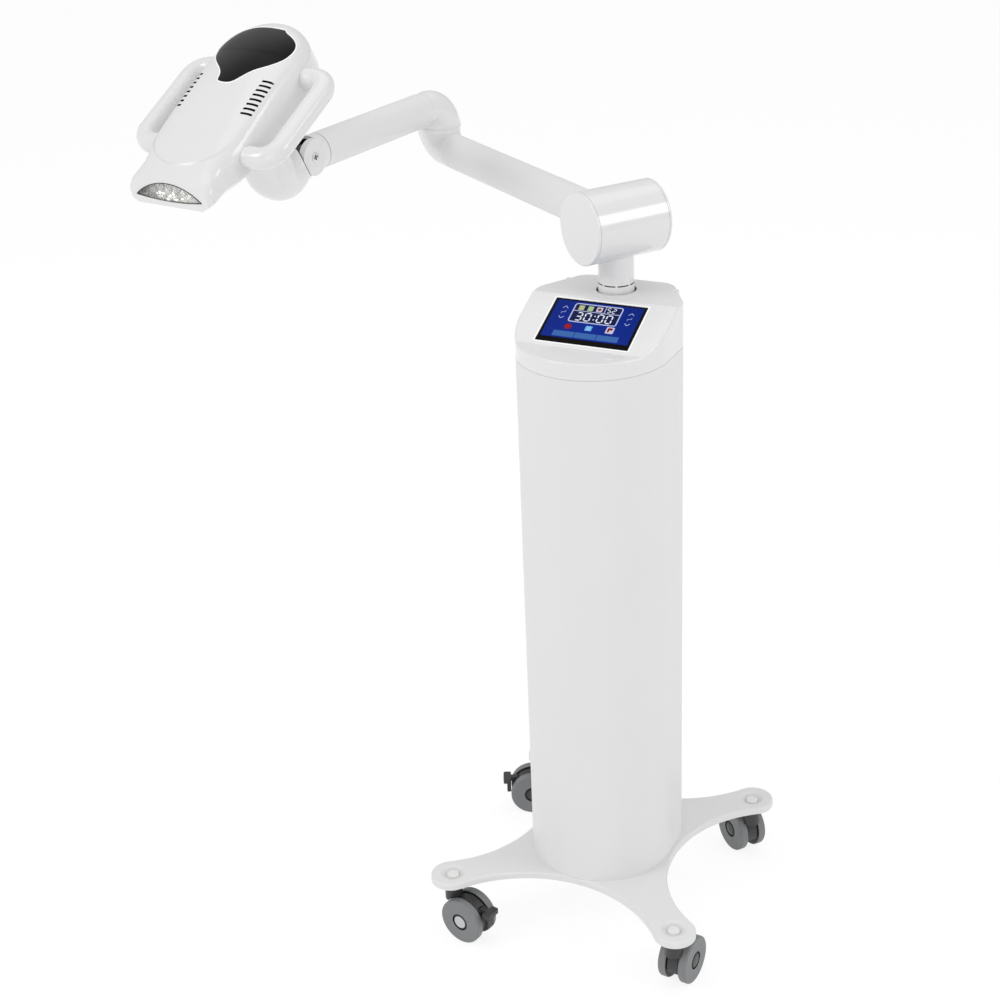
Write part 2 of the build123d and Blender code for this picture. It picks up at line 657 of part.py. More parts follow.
def control_board():
    """The board behind the display, on four standoffs."""
    margin = 4 * GLASS_LEDGE
    length = SCREEN_LENGTH - margin
    height = SCREEN_HEIGHT - margin
    top = DISPLAY_TOP - DISPLAY_DEPTH
    board = screen_slab(length, height, top - BOARD_STANDOFF - BOARD_THICK, top - BOARD_STANDOFF)
    spacer = rod(STANDOFF_RADIUS, top - BOARD_STANDOFF, top)
    for x in (-1, 1):
        for y in (-1, 1):
            corner = Pos(x * (length / 2 - 2 * STANDOFF_RADIUS), y * (height / 2 - 2 * STANDOFF_RADIUS), 0)
            board += screen_frame() * (corner * spacer)
    return board


# Mast and post

MAST_BORE = POST_RADIUS - MAST_WALL
SPINDLE_RADIUS = MAST_BORE - BUSH_WALL - RUNNING_GAP
POST_FOOT = MAST_TOP + RING_HEIGHT
LOWER_BUSH_FOOT = MAST_TOP - BUSH_SPACING - BUSH_LENGTH


def on_post(shape):
    return Pos(0, POST_BACK, 0) * shape


def mast_tube():
    mast = rod(POST_RADIUS, BASE_TOP, MAST_TOP) + rod(MAST_FLANGE_RADIUS, BASE_TOP, BASE_TOP + MAST_FLANGE)
    return on_post(mast - rod(MAST_BORE, BASE_TOP - OVERRUN, MAST_TOP + OVERRUN))


def post_bush(foot):
    return on_post(pipe(MAST_BORE, SPINDLE_RADIUS + RUNNING_GAP, foot, foot + BUSH_LENGTH))


def slotted_ring():
    """The ring between mast and post, cut by a row of narrow slots."""
    ring = pipe(POST_RADIUS, SPINDLE_RADIUS + RUNNING_GAP, MAST_TOP, POST_FOOT)
    middle = MAST_TOP + RING_HEIGHT / 2
    pitch = 360 / RING_SLOTS
    half = math.radians(pitch - RING_BRIDGE_ANGLE) / 2
    depth = POST_RADIUS + OVERRUN
    side = depth * math.sin(half)
    reach = depth * math.cos(half)
    slot_face = make_face(Polyline((0, 0), (reach, -side), (depth, 0), (reach, side), close=True))
    slot = Pos(0, 0, middle - RING_SLOT / 2) * extrude(slot_face, amount=RING_SLOT)
    slot -= rod(SPINDLE_RADIUS + MAST_WALL, MAST_TOP - OVERRUN, POST_FOOT + OVERRUN)
    for number in range(RING_SLOTS):
        ring -= Rot(0, 0, number * pitch) * slot
    return on_post(ring)


def post_spindle():
    """The steel tube that turns in the bushes."""
    foot = LOWER_BUSH_FOOT - SPINDLE_TAIL
    tube = pipe(SPINDLE_RADIUS, SPINDLE_RADIUS - SPINDLE_WALL, foot, POST_FOOT + SPINDLE_STAND)
    return on_post(tube)


# Shoulder, modelled with the barrel's axis on Z and the arm towards +X

BARREL_BORE = BARREL_RADIUS - BARREL_WALL
DRUM_RADIUS = BARREL_BORE - DRUM_GAP
ARM_HALF_ANGLE = math.degrees(math.asin(ARM_RADIUS / BARREL_RADIUS))


def along_arm(radius, start, end):
    return Rot(0, 90, 0) * rod(radius, start, end)


def shoulder_barrel():
    """The barrel and the post in one casting, open at both ends and at the arm's slot."""
    low = -BARREL_NEAR + BARREL_CAP
    high = BARREL_FAR - BARREL_CAP
    post = rod(POST_RADIUS, POST_FOOT, SHOULDER_HEIGHT)
    shell = SHOULDER_FRAME * rod(BARREL_RADIUS, low, high)
    body = shell + on_post(post)
    body -= SHOULDER_FRAME * rod(BARREL_BORE, low - OVERRUN, high + OVERRUN)
    body -= on_post(rod(SPINDLE_RADIUS, POST_FOOT - OVERRUN, POST_FOOT + SPINDLE_STAND))
    body -= on_post(rod(SPINDLE_RADIUS - SPINDLE_WALL, POST_FOOT, SHOULDER_HEIGHT))
    half = ARM_RADIUS + ARM_SLOT_GAP
    reach = BARREL_RADIUS + OVERRUN
    high_way = heading(ARM_UP) * (2 * reach)
    low_way = heading(-ARM_DOWN) * (2 * reach)
    wedge = make_face(Polyline((0, 0), high_way, low_way, close=True))
    slot = extrude(wedge, amount=half, both=True)
    for angle in (ARM_UP, -ARM_DOWN):
        slot += Rot(0, 0, angle) * along_arm(half, 0, reach)
    body -= SHOULDER_FRAME * slot
    return body


def barrel_end(level, way):
    """A round-edged end cap with a hub that carries the axle."""
    cap = rod(BARREL_RADIUS, 0, BARREL_CAP)
    cap = fillet(cap.edges().group_by(Axis.Z)[-1], BARREL_CAP_ROUND)
    cap -= seam_groove(BARREL_RADIUS, 0, SEAM_WIDTH)
    length = BARREL_NEAR if way < 0 else BARREL_FAR
    hub_end = DRUM_HALF + DISC_THICK + BARREL_CAP - length
    cap += rod(BARREL_CAP_HUB, hub_end, 0)
    cap -= rod(SHOULDER_AXLE_RADIUS, hub_end - OVERRUN, SHOULDER_AXLE_SINK)
    turned = cap if way > 0 else Rot(180, 0, 0) * cap
    return SHOULDER_FRAME * (Pos(0, 0, level) * turned)


def shoulder_axle():
    return SHOULDER_FRAME * rod(SHOULDER_AXLE_RADIUS, -BARREL_NEAR + BARREL_CAP - SHOULDER_AXLE_SINK,
                                BARREL_FAR - BARREL_CAP + SHOULDER_AXLE_SINK)


def friction_discs():
    disc = pipe(DRUM_HUB_RADIUS, SHOULDER_AXLE_RADIUS + RUNNING_GAP, 0, DISC_THICK)
    return [SHOULDER_FRAME * (Pos(0, 0, DRUM_HALF) * disc),
            SHOULDER_FRAME * (Pos(0, 0, -DRUM_HALF - DISC_THICK) * disc)]


def shoulder_drum():
    """A drum with a middle web, and the stub on which the arm's tube is pushed."""
    drum = rod(DRUM_RADIUS, -DRUM_HALF, DRUM_HALF)
    pocket = pipe(DRUM_RADIUS - DRUM_WALL, DRUM_HUB_RADIUS, DRUM_WEB, DRUM_HALF + OVERRUN)
    drum -= pocket
    drum -= Rot(180, 0, 0) * pocket
    drum += along_arm(ARM_RADIUS - ARM_WALL, 0, DRUM_RADIUS + SPIGOT_LENGTH)
    drum -= rod(SHOULDER_AXLE_RADIUS + RUNNING_GAP, -DRUM_HALF - OVERRUN, DRUM_HALF + OVERRUN)
    drum -= along_arm(PIN_BORE, DRUM_HUB_RADIUS, DRUM_RADIUS + SPIGOT_LENGTH + OVERRUN)
    return SHOULDER_FRAME * drum


# Arms and elbows

def lower_arm_tube():
    tube = along_arm(ARM_RADIUS, 0, LOWER_ARM - ELBOW_REACH)
    tube -= along_arm(ARM_RADIUS - ARM_WALL, -OVERRUN, LOWER_ARM)
    tube -= rod(DRUM_RADIUS, -BARREL_NEAR, BARREL_NEAR)
    return SHOULDER_FRAME * tube


def forearm_tube():
    end = FOREARM - FORK_BACK
    tube = along_arm(ARM_RADIUS, ELBOW_REACH, end) - along_arm(ARM_RADIUS - ARM_WALL, 0, FOREARM)
    return Plane(origin=ELBOW + UP * (2 * ELBOW_RISE), x_dir=FOREARM_WAY, z_dir=UP) * tube


def bend(inset, reach):
    """A quarter bend that narrows from the swivel seam at Z = 0 to a tube along +X."""
    sections = []
    for step in range(ELBOW_STEPS + 1):
        share = step / ELBOW_STEPS
        turn = math.radians(90 * share)
        arm = ELBOW_PIVOT + (ELBOW_RISE - ELBOW_PIVOT) * share
        radius = ELBOW_BARREL_RADIUS + (ELBOW_NECK_RADIUS - ELBOW_BARREL_RADIUS) * share - inset
        centre = (ELBOW_PIVOT - arm * math.cos(turn), 0, arm * math.sin(turn))
        plane = Plane(origin=centre, x_dir=(0, 1, 0), z_dir=(math.sin(turn), 0, math.cos(turn)))
        sections.append(plane * Circle(radius))
    body = loft(sections)
    neck = Plane(origin=(0, 0, ELBOW_RISE), x_dir=(0, 1, 0), z_dir=(1, 0, 0))
    return body + neck * rod(ELBOW_NECK_RADIUS - inset, ELBOW_PIVOT, reach)


def elbow_half(pin_gap):
    """One half of an elbow, with a web for the pin and a spigot for the tube."""
    half = bend(0, ELBOW_REACH)
    neck = Plane(origin=(0, 0, ELBOW_RISE), x_dir=(0, 1, 0), z_dir=(1, 0, 0))
    half += neck * rod(ARM_RADIUS - ARM_WALL, ELBOW_REACH, ELBOW_REACH + SPIGOT_LENGTH)
    room = bend(ELBOW_WALL, ELBOW_REACH) + neck * rod(
        ELBOW_NECK_RADIUS - 2 * ELBOW_WALL, ELBOW_REACH - OVERRUN, ELBOW_REACH + SPIGOT_LENGTH + OVERRUN)
    room -= block((-2 * ELBOW_BARREL_RADIUS, 2 * ELBOW_REACH), (-2 * ELBOW_REACH, 2 * ELBOW_REACH),
                  (-OVERRUN, ELBOW_WEB))
    half -= room
    half -= seam_groove(ELBOW_BARREL_RADIUS, 0, SEAM_WIDTH)
    return half - rod(PIN_RADIUS + pin_gap, -OVERRUN, ELBOW_WEB + OVERRUN)


def swivel_pin():
    """A hollow pin with a flange at each end, through the two webs at a seam."""
    pin = rod(PIN_RADIUS, -ELBOW_WEB, ELBOW_WEB)
    pin += rod(PIN_FLANGE, ELBOW_WEB, ELBOW_WEB + PIN_FLANGE_THICK)
    pin += rod(PIN_FLANGE, -ELBOW_WEB - PIN_FLANGE_THICK, -ELBOW_WEB)
    return pin - rod(PIN_BORE, -2 * ELBOW_WEB, 2 * ELBOW_WEB)


# Wrist, modelled with the forearm along X, the hinge on Y and the fork at the origin

def hinge_rod(radius, start, end):
    return Rot(-90, 0, 0) * rod(radius, start, end)


def wrist_fork():
    body = along_arm(ARM_RADIUS, -FORK_BACK, 0)
    cheeks = make_face(Polyline(
        (-FORK_BACK, -ARM_RADIUS), (-FORK_BACK * FORK_TAPER_SHARE, -ARM_RADIUS), (-FORK_SHOULDER, -FORK_HALF),
        (ARM_RADIUS + OVERRUN, -FORK_HALF), (ARM_RADIUS + OVERRUN, FORK_HALF), (-FORK_SHOULDER, FORK_HALF),
        (-FORK_BACK * FORK_TAPER_SHARE, ARM_RADIUS), (-FORK_BACK, ARM_RADIUS), close=True))
    body += hinge_rod(ARM_RADIUS, -FORK_HALF, FORK_HALF)
    body = body & both_ways(cheeks, 2 * ARM_RADIUS)
    slot = hinge_rod(FORK_SLOT_RADIUS, -TONGUE_HALF - SEAT_GAP, TONGUE_HALF + SEAT_GAP)
    slot += block((0, 2 * ARM_RADIUS), (-TONGUE_HALF - SEAT_GAP, TONGUE_HALF + SEAT_GAP),
                  (-2 * ARM_RADIUS, 2 * ARM_RADIUS))
    for way in (-1, 1):
        slot += block((-FORK_SHOULDER, 2 * ARM_RADIUS), (-TONGUE_HALF - SEAT_GAP, TONGUE_HALF + SEAT_GAP),
                      (min(0, way * 2 * ARM_RADIUS), max(0, way * 2 * ARM_RADIUS)))
    body -= slot
    body -= Rot(0, 90, 0) * seam_groove(ARM_RADIUS, -FORK_BACK, SEAM_WIDTH - FORK_BACK)
    body += along_arm(ARM_RADIUS - ARM_WALL, -FORK_BACK - SPIGOT_LENGTH, -FORK_BACK)
    body -= along_arm(PIN_BORE, -FORK_BACK - SPIGOT_LENGTH - OVERRUN, 0)
    body -= hinge_rod(WRIST_PIN_RADIUS, -FORK_HALF - OVERRUN, FORK_HALF + OVERRUN)
    body -= hinge_rod(WRIST_SCREW_RADIUS, FORK_HALF - WRIST_SCREW_DEPTH, FORK_HALF + OVERRUN)
    return WRIST_FRAME * body


def wrist_pin():
    pin = hinge_rod(WRIST_PIN_RADIUS, -FORK_HALF, FORK_HALF - WRIST_SCREW_DEPTH)
    pin += hinge_rod(WRIST_SCREW_RADIUS, FORK_HALF - WRIST_SCREW_DEPTH, FORK_HALF - WRIST_SCREW_SINK)
    return WRIST_FRAME * pin


def half_space(point, normal):
    """All that lies beyond a plane, as a block as large as the wrist."""
    size = 4 * ELBOW_REACH
    return Plane(origin=point, x_dir=(0, 1, 0), z_dir=normal) * (Pos(0, 0, size / 2) * Box(size, size, size))


def wrist_elbow():
    """The bent piece under the head: barrel, bend and the tongue of the hinge."""
    hinge = Vector(WRIST_DROP, 0, ELBOW_RISE)
    neck = Plane(origin=(0, 0, ELBOW_RISE), x_dir=(0, 1, 0), z_dir=(1, 0, 0))
    body = bend(0, ELBOW_REACH) + neck * rod(ELBOW_NECK_RADIUS, ELBOW_PIVOT, WRIST_DROP)
    body += rod(ELBOW_BARREL_RADIUS, -WRIST_BARREL, 0)
    room = bend(ELBOW_WALL, ELBOW_PIVOT)
    room += rod(ELBOW_BARREL_RADIUS - ELBOW_WALL, ELBOW_WEB - WRIST_BARREL, 0)
    body -= room
    scoop = Location(hinge) * (Rot(-90, 0, 0) * Cylinder(ARM_RADIUS + EASY_GAP, 4 * ARM_RADIUS))
    top = math.radians(WRIST_TOP_BEVEL)
    low = math.radians(WRIST_LOW_BEVEL)
    body -= scoop
    body -= half_space(hinge, (math.sin(top), 0, -math.cos(top)))
    body -= half_space(hinge, (math.sin(low), 0, math.cos(low)))
    tongue = Rot(-90, 0, 0) * Cylinder(TONGUE_RADIUS, 2 * TONGUE_HALF)
    tongue += block((-ARM_RADIUS - ELBOW_WALL, 0), (-TONGUE_HALF, TONGUE_HALF),
                    (-TONGUE_RADIUS, TONGUE_RADIUS))
    body += Location(hinge) * tongue
    body -= Location(hinge) * hinge_rod(WRIST_PIN_RADIUS + RUNNING_GAP, -ARM_RADIUS, ARM_RADIUS)
    body -= rod(PIN_RADIUS, -WRIST_BARREL - OVERRUN, ELBOW_WEB - WRIST_BARREL + OVERRUN)
    body -= seam_groove(ELBOW_BARREL_RADIUS, -WRIST_BARREL, SEAM_WIDTH - WRIST_BARREL)
    return WRIST_ELBOW_FRAME * body


# Head, modelled in its own frame

def head_section(place, half, crown, side_top, bottom, inset, drop):
    """One closed slice across the head: arched top, upright sides and a flat bottom."""
    half -= inset
    crown -= drop
    bottom += inset
    height = crown - side_top
    right = [Vector(half * x, place, side_top + height * z) for x, z in CROWN_SHARES]
    left = [Vector(-half * x, place, side_top + height * z) for x, z in reversed(CROWN_SHARES)]
    start = Vector(half, place, side_top)
    end = Vector(-half, place, side_top)
    arch = Spline(start, *right, Vector(0, place, crown), *left, end)
    foot = bottom + min(HEAD_FOOT_ROUND, (side_top - bottom) / 2)
    toe = half - HEAD_FOOT_ROUND
    return make_face([arch, Line(end, (-half, place, foot)),
                      Line((-half, place, foot), (-toe, place, bottom)),
                      Line((-toe, place, bottom), (toe, place, bottom)),
                      Line((toe, place, bottom), (half, place, foot)),
                      Line((half, place, foot), start)])


def head_solid(inset=0, drop=0):
    """The head's body: lofted slices, closed by half a turn of the last one."""
    slices = [head_section(HEAD_NOSE + number * STATION_PITCH, *station, inset, drop)
              for number, station in enumerate(HEAD_STATIONS)]
    body = loft(slices)
    last = HEAD_NOSE + (len(HEAD_STATIONS) - 1) * STATION_PITCH
    right_half = slices[-1] & block((0, 2 * HEAD_HALF_WIDTH), (last - OVERRUN, last + OVERRUN),
                                    (2 * HEAD_BOTTOM, -HEAD_BOTTOM))
    rear = revolve(right_half, Axis((0, last, 0), (0, 0, 1)), revolution_arc=180)
    return body + rear


def nose_frame():
    """On the slanted nose face, with X across, Y up the face and Z out of it."""
    tilt = math.radians(NOSE_TILT)
    return Plane(origin=(0, NOSE_FRONT, NOSE_FRONT_HEIGHT), x_dir=(1, 0, 0),
                 z_dir=(0, -math.cos(tilt), math.sin(tilt)))


def nose_cut(depth=0):
    size = 4 * HEAD_HALF_WIDTH
    return nose_frame() * (Pos(0, 0, size / 2 - depth) * Box(size, size, size))


def mouth_face(grow=0):
    """The crescent opening: a high arch over a nearly straight lip."""
    corner = (MOUTH_CORNER - NOSE_FRONT_HEIGHT) / math.cos(math.radians(NOSE_TILT)) + MOUTH_LIP / 2
    half = MOUTH_HALF_WIDTH + grow
    arch = ThreePointArc((-half, corner), (0, corner + MOUTH_ARCH + grow), (half, corner))
    lip = ThreePointArc((half, corner), (0, corner - MOUTH_LIP - grow), (-half, corner))
    return make_face([arch, lip])


def mouth_solid(grow, start, end):
    return nose_frame() * (Pos(0, 0, start) * extrude(mouth_face(grow), amount=end - start))


def vent_slots():
    """Two rows of slots whose outer ends lie further to the rear."""
    slot = SlotOverall(VENT_LENGTH, VENT_WIDTH)
    cutter = extrude(slot, amount=HEAD_HALF_WIDTH, both=True)
    cuts = []
    for side in (-1, 1):
        for number in range(VENT_COUNT):
            place = Pos(side * VENT_OUT, VENT_FIRST - number * VENT_PITCH, HEAD_PARTING + HEAD_HALF_WIDTH)
            cuts.append(place * (Rot(0, 0, side * VENT_SLANT) * cutter))
    return cuts


def panel_outline(grow=0):
    """A pear-shaped outline: narrow towards the nose, round at the rear."""
    tip = PANEL_TIP - grow
    length = PANEL_REAR + grow - tip
    half = PANEL_HALF_WIDTH + grow
    right = [(half * x, tip + length * y) for x, y in PANEL_SHARES]
    left = [(-x, y) for x, y in reversed(right)]
    rear = (0, tip + length)
    return make_face([Spline((0, tip), *right, rear, tangents=[(1, 0), (-1, 0)]),
                      Spline(rear, *left, (0, tip), tangents=[(-1, 0), (1, 0)])])


def panel_prism(grow=0):
    return extrude(panel_outline(grow), amount=2 * HEAD_CROWN, both=True)


def above_parting():
    size = 4 * HEAD_HALF_WIDTH
    return Pos(0, 0, HEAD_PARTING + size / 2) * Box(2 * size, 2 * size, size)


def handle_path(side):
    start = (side * (HEAD_HALF_WIDTH - HANDLE_RADIUS), HANDLE_REAR, HANDLE_LEVEL)
    end = (side * (HEAD_HALF_WIDTH - HANDLE_RADIUS), HANDLE_FRONT, HANDLE_LEVEL)
    return FilletPolyline(start, (side * HANDLE_OUT, HANDLE_REAR, HANDLE_LEVEL),
                          (side * HANDLE_OUT, HANDLE_FRONT, HANDLE_LEVEL), end, radius=HANDLE_BEND)


def handle(side, body):
    """A tubular loop beside the head, trimmed to the body's side."""
    path = handle_path(side)
    start = Plane(origin=path @ 0, z_dir=path % 0)
    loop = sweep(start * Circle(HANDLE_RADIUS), path=path)
    bore = sweep(start * Circle(HANDLE_RADIUS - HANDLE_WALL), path=path)
    return HEAD_FRAME * (loop - bore - body)


def head_shells(body, room):
    """The two halves of the head's housing, and the recess of the top panel."""
    shell = body - room
    upper = shell & above_parting()
    lower = shell - above_parting()
    floor = Pos(0, 0, -PANEL_SINK - SEAT_GAP) * body
    upper -= panel_prism(SEAT_GAP) - floor
    upper -= vent_slots()
    upper -= mouth_solid(0, -2 * HEAD_WALL - REFLECTOR_DEPTH, OVERRUN)
    upper += nose_seat(body)
    return upper, lower


def nose_seat(body):
    """The wall behind the nose face, with the window's seat round the mouth."""
    plate = nose_cut(HEAD_WALL + WINDOW_THICK + WINDOW_SINK) & body
    plate -= mouth_solid(0, -REFLECTOR_DEPTH, OVERRUN)
    return plate


def neck(lower):
    """The round neck under the head, with the web that turns on the wrist's pin."""
    top = HEAD_PARTING - HEAD_WALL
    stem = rod(NECK_RADIUS, HEAD_SEAM, HEAD_BOTTOM + HEAD_WALL)
    belly = Pos(0, 0, HEAD_BOTTOM) * Cone(NECK_RADIUS, BELLY_RADIUS, BELLY_DROP,
                                          align=(Align.CENTER, Align.CENTER, Align.MAX))
    solid = stem + belly
    solid -= rod(NECK_RADIUS - NECK_WALL, HEAD_SEAM + ELBOW_WEB, top)
    solid -= rod(PIN_RADIUS + RUNNING_GAP, HEAD_SEAM - OVERRUN, HEAD_SEAM + ELBOW_WEB + OVERRUN)
    solid -= seam_groove(NECK_RADIUS, HEAD_SEAM, HEAD_SEAM + SEAM_WIDTH)
    open_lower = lower - rod(NECK_RADIUS - NECK_WALL, HEAD_BOTTOM - OVERRUN, top + OVERRUN)
    return open_lower + solid


def head_pin():
    return HEAD_FRAME * (Pos(0, 0, HEAD_SEAM) * swivel_pin())


def head_panel(body):
    floor = Pos(0, 0, -PANEL_SINK) * body
    return (panel_prism() & body) - floor


def lamp_window():
    return mouth_solid(-RUNNING_GAP, -WINDOW_SINK - WINDOW_THICK, -WINDOW_SINK)


def lens_places():
    """A row of lenses that follows the arch of the mouth."""
    places = []
    for number in range(LENS_COUNT):
        share = (2 * number + 1) / LENS_COUNT - 1
        x = share * (MOUTH_HALF_WIDTH - 2 * LENS_RADIUS)
        rise = MOUTH_ARCH * (1 - share**2) * LENS_ARCH_SHARE
        places.append((x, MOUTH_CORNER - NOSE_FRONT_HEIGHT + MOUTH_LIP / 2 + rise))
    return places


def light_unit(clear):
    """Reflector, lenses and board, one behind the other, inside the clear room."""
    rim = -HEAD_WALL - WINDOW_THICK - WINDOW_SINK
    floor = rim - REFLECTOR_DEPTH
    outer = mouth_solid(REFLECTOR_WALL, floor, rim) & clear
    bowl = outer - mouth_solid(0, floor + REFLECTOR_WALL, rim + OVERRUN)
    lenses = []
    for x, y in lens_places():
        seat = nose_frame() * (Pos(x, y, 0) * rod(LENS_RADIUS - EASY_GAP, floor - OVERRUN, floor + OVERRUN))
        bowl -= seat
        dome = rod(LENS_RADIUS - EASY_GAP - RUNNING_GAP, floor, floor + LENS_BASE)
        dome = fillet(dome.edges().group_by(Axis.Z)[-1], LENS_BASE * LENS_DOME_SHARE)
        lenses.append(nose_frame() * (Pos(x, y, 0) * dome))
    board = mouth_solid(REFLECTOR_WALL, floor - LED_BOARD_THICK, floor) & clear
    return bowl, lenses, board, floor - LED_BOARD_THICK


def heat_sink(start):
    """A base plate with a comb of fins behind it."""
    half = MOUTH_HALF_WIDTH - 2 * LENS_RADIUS
    height = MOUTH_ARCH * SINK_HEIGHT_SHARE
    middle = MOUTH_CORNER - NOSE_FRONT_HEIGHT + MOUTH_ARCH / 2
    base = block((-half, half), (middle - height, middle + height), (start - SINK_BASE, start))
    pitch = (2 * half - SINK_FIN) / (SINK_FINS - 1)
    for number in range(SINK_FINS):
        left = -half + number * pitch
        base += block((left, left + SINK_FIN), (middle - height, middle + height),
                      (start - SINK_BASE - SINK_DEPTH, start - SINK_BASE))
    return nose_frame() * base


FAN_FOOT = HEAD_BOTTOM + HEAD_WALL + RUNNING_GAP + FAN_POST_HEIGHT


def fan_frame():
    """A square frame with a round bore, crossed by an arm that holds the motor."""
    half = FAN_SIZE / 2
    frame = block((-half, half), (-half, half), (FAN_FOOT, FAN_FOOT + FAN_DEPTH))
    frame -= rod(FAN_BORE, FAN_FOOT - OVERRUN, FAN_FOOT + FAN_DEPTH + OVERRUN)
    frame += block((-half, half), (-FAN_HUB / 2, FAN_HUB / 2), (FAN_FOOT, FAN_FOOT + FAN_BLADE))
    frame += rod(FAN_AXLE_RADIUS, FAN_FOOT, FAN_FOOT + FAN_DEPTH / 2)
    corner = half - 2 * FAN_POST_RADIUS
    for x in (-corner, corner):
        for y in (-corner, corner):
            frame += Pos(x, y, 0) * rod(FAN_POST_RADIUS, FAN_FOOT - FAN_POST_HEIGHT, FAN_FOOT)
    return Pos(0, FAN_PLACE, 0) * frame


def fan_rotor():
    start = FAN_FOOT + FAN_BLADE + SEAT_GAP
    rotor = rod(FAN_HUB, start, FAN_FOOT + FAN_DEPTH)
    middle = (start + FAN_FOOT + FAN_DEPTH) / 2
    for number in range(FAN_BLADES):
        blade = Pos((FAN_HUB + FAN_BORE) / 2 - EASY_GAP, 0, middle) * (
            Rot(FAN_BLADE_TWIST, 0, 0)
            * Box(FAN_BORE - FAN_HUB - EASY_GAP, FAN_BLADE, FAN_DEPTH * FAN_BLADE_SHARE))
        rotor += Rot(0, 0, number * 360 / FAN_BLADES) * blade
    rotor -= rod(FAN_AXLE_RADIUS + RUNNING_GAP, FAN_FOOT, FAN_FOOT + FAN_DEPTH / 2 + SEAT_GAP)
    return Pos(0, FAN_PLACE, 0) * rotor


def write(name, shape):
    solids = shape if isinstance(shape, list) else [shape]
    solids = [solid for part in solids for solid in part.solids()]
    export_step(Compound(children=solids) if len(solids) > 1 else solids[0], "parts/" + name + ".step")


def build():
    os.makedirs("parts", exist_ok=True)
    write("base_plate", base_plate())
    write("leg_plugs", leg_plugs())
    write("castor_stems", [Location(place) * castor_stem() for place in stem_places().values()])
    for name in CASTOR_SIDE:
        write("castor_hood_" + name, placed_castor(name, castor_hood(name in BRAKED) + castor_washer()))
        write("castor_axle_" + name, placed_castor(name, castor_axle()))
        write("castor_wheels_" + name, [placed_castor(name, castor_wheel(side)) for side in (-1, 1)])
        if name in BRAKED:
            write("castor_brake_" + name, placed_castor(name, castor_brake()))

    write("column_shell", column_shell())
    write("ballast_block", ballast_block())
    write("power_supply", power_supply())
    write("inlet_housing", inlet_housing())
    write("inlet_pins", inlet_pins())
    write("power_rocker", power_rocker())
    write("top_cap", top_cap())
    write("cap_plugs", cap_plugs())
    write("screen_glass", screen_glass())
    write("display_module", display_module())
    write("control_board", control_board())

    write("mast_tube", mast_tube())
    write("post_bushes", [post_bush(MAST_TOP - BUSH_LENGTH), post_bush(LOWER_BUSH_FOOT)])
    write("slotted_ring", slotted_ring())
    write("post_spindle", post_spindle())

    write("shoulder_barrel", shoulder_barrel())
    write("barrel_end_near", barrel_end(-BARREL_NEAR + BARREL_CAP, -1))
    write("barrel_end_far", barrel_end(BARREL_FAR - BARREL_CAP, 1))
    write("shoulder_axle", shoulder_axle())
    write("friction_discs", friction_discs())
    write("shoulder_drum", shoulder_drum())
    write("lower_arm_tube", lower_arm_tube())
    write("lower_elbow", LOWER_ELBOW_FRAME * elbow_half(0))
    write("elbow_pin", UPPER_ELBOW_FRAME * swivel_pin())
    write("upper_elbow", UPPER_ELBOW_FRAME * elbow_half(RUNNING_GAP))
    write("forearm_tube", forearm_tube())
    write("wrist_fork", wrist_fork())
    write("wrist_pin", wrist_pin())
    write("wrist_elbow", wrist_elbow())
    write("head_pin", head_pin())

    body = head_solid() - nose_cut()
    room = head_solid(HEAD_WALL, HEAD_WALL) - nose_cut(HEAD_WALL)
    upper, lower = head_shells(body, room)
    clear = head_solid(HEAD_WALL + EASY_GAP, HEAD_WALL + EASY_GAP)
    bowl, lenses, board, board_back = light_unit(clear)
    write("head_upper_shell", HEAD_FRAME * upper)
    write("head_lower_shell", HEAD_FRAME * neck(lower))
    write("head_top_panel", HEAD_FRAME * head_panel(body))
    write("handle_left", handle(-1, body))
    write("handle_right", handle(1, body))
    write("lamp_window", HEAD_FRAME * lamp_window())
    write("lamp_reflector", HEAD_FRAME * bowl)
    write("led_lenses", [HEAD_FRAME * lens for lens in lenses])
    write("led_board", HEAD_FRAME * board)
    write("heat_sink", HEAD_FRAME * heat_sink(board_back))
    write("fan_frame", HEAD_FRAME * fan_frame())
    write("fan_rotor", HEAD_FRAME * fan_rotor())


build()
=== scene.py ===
import json
import math

import bmesh
import bpy
from mathutils import Matrix, Vector

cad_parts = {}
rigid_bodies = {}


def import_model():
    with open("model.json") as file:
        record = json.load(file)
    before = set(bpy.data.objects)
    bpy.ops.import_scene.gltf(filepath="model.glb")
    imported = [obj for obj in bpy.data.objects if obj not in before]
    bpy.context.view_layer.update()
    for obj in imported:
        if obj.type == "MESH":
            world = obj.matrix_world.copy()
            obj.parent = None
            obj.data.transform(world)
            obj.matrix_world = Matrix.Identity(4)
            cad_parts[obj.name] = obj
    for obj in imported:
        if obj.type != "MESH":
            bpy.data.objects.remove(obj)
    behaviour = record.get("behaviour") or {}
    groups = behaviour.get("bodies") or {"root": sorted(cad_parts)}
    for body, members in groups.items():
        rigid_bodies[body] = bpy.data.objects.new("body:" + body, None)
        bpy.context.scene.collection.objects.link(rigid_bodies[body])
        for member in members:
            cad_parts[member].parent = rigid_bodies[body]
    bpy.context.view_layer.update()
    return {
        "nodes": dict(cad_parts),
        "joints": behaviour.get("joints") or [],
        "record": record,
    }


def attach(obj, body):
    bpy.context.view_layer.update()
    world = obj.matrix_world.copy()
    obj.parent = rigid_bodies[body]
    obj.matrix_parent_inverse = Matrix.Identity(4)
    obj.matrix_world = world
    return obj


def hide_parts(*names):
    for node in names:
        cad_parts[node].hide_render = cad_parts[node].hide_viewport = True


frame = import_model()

NODES = frame["nodes"]
JOINTS = {joint["name"]: joint for joint in frame["joints"]}
MM = 0.001


def joint_place(name):
    return Vector(JOINTS[name]["pos_m"])


def joint_axis(name):
    return Vector(JOINTS[name]["axis"]).normalized()


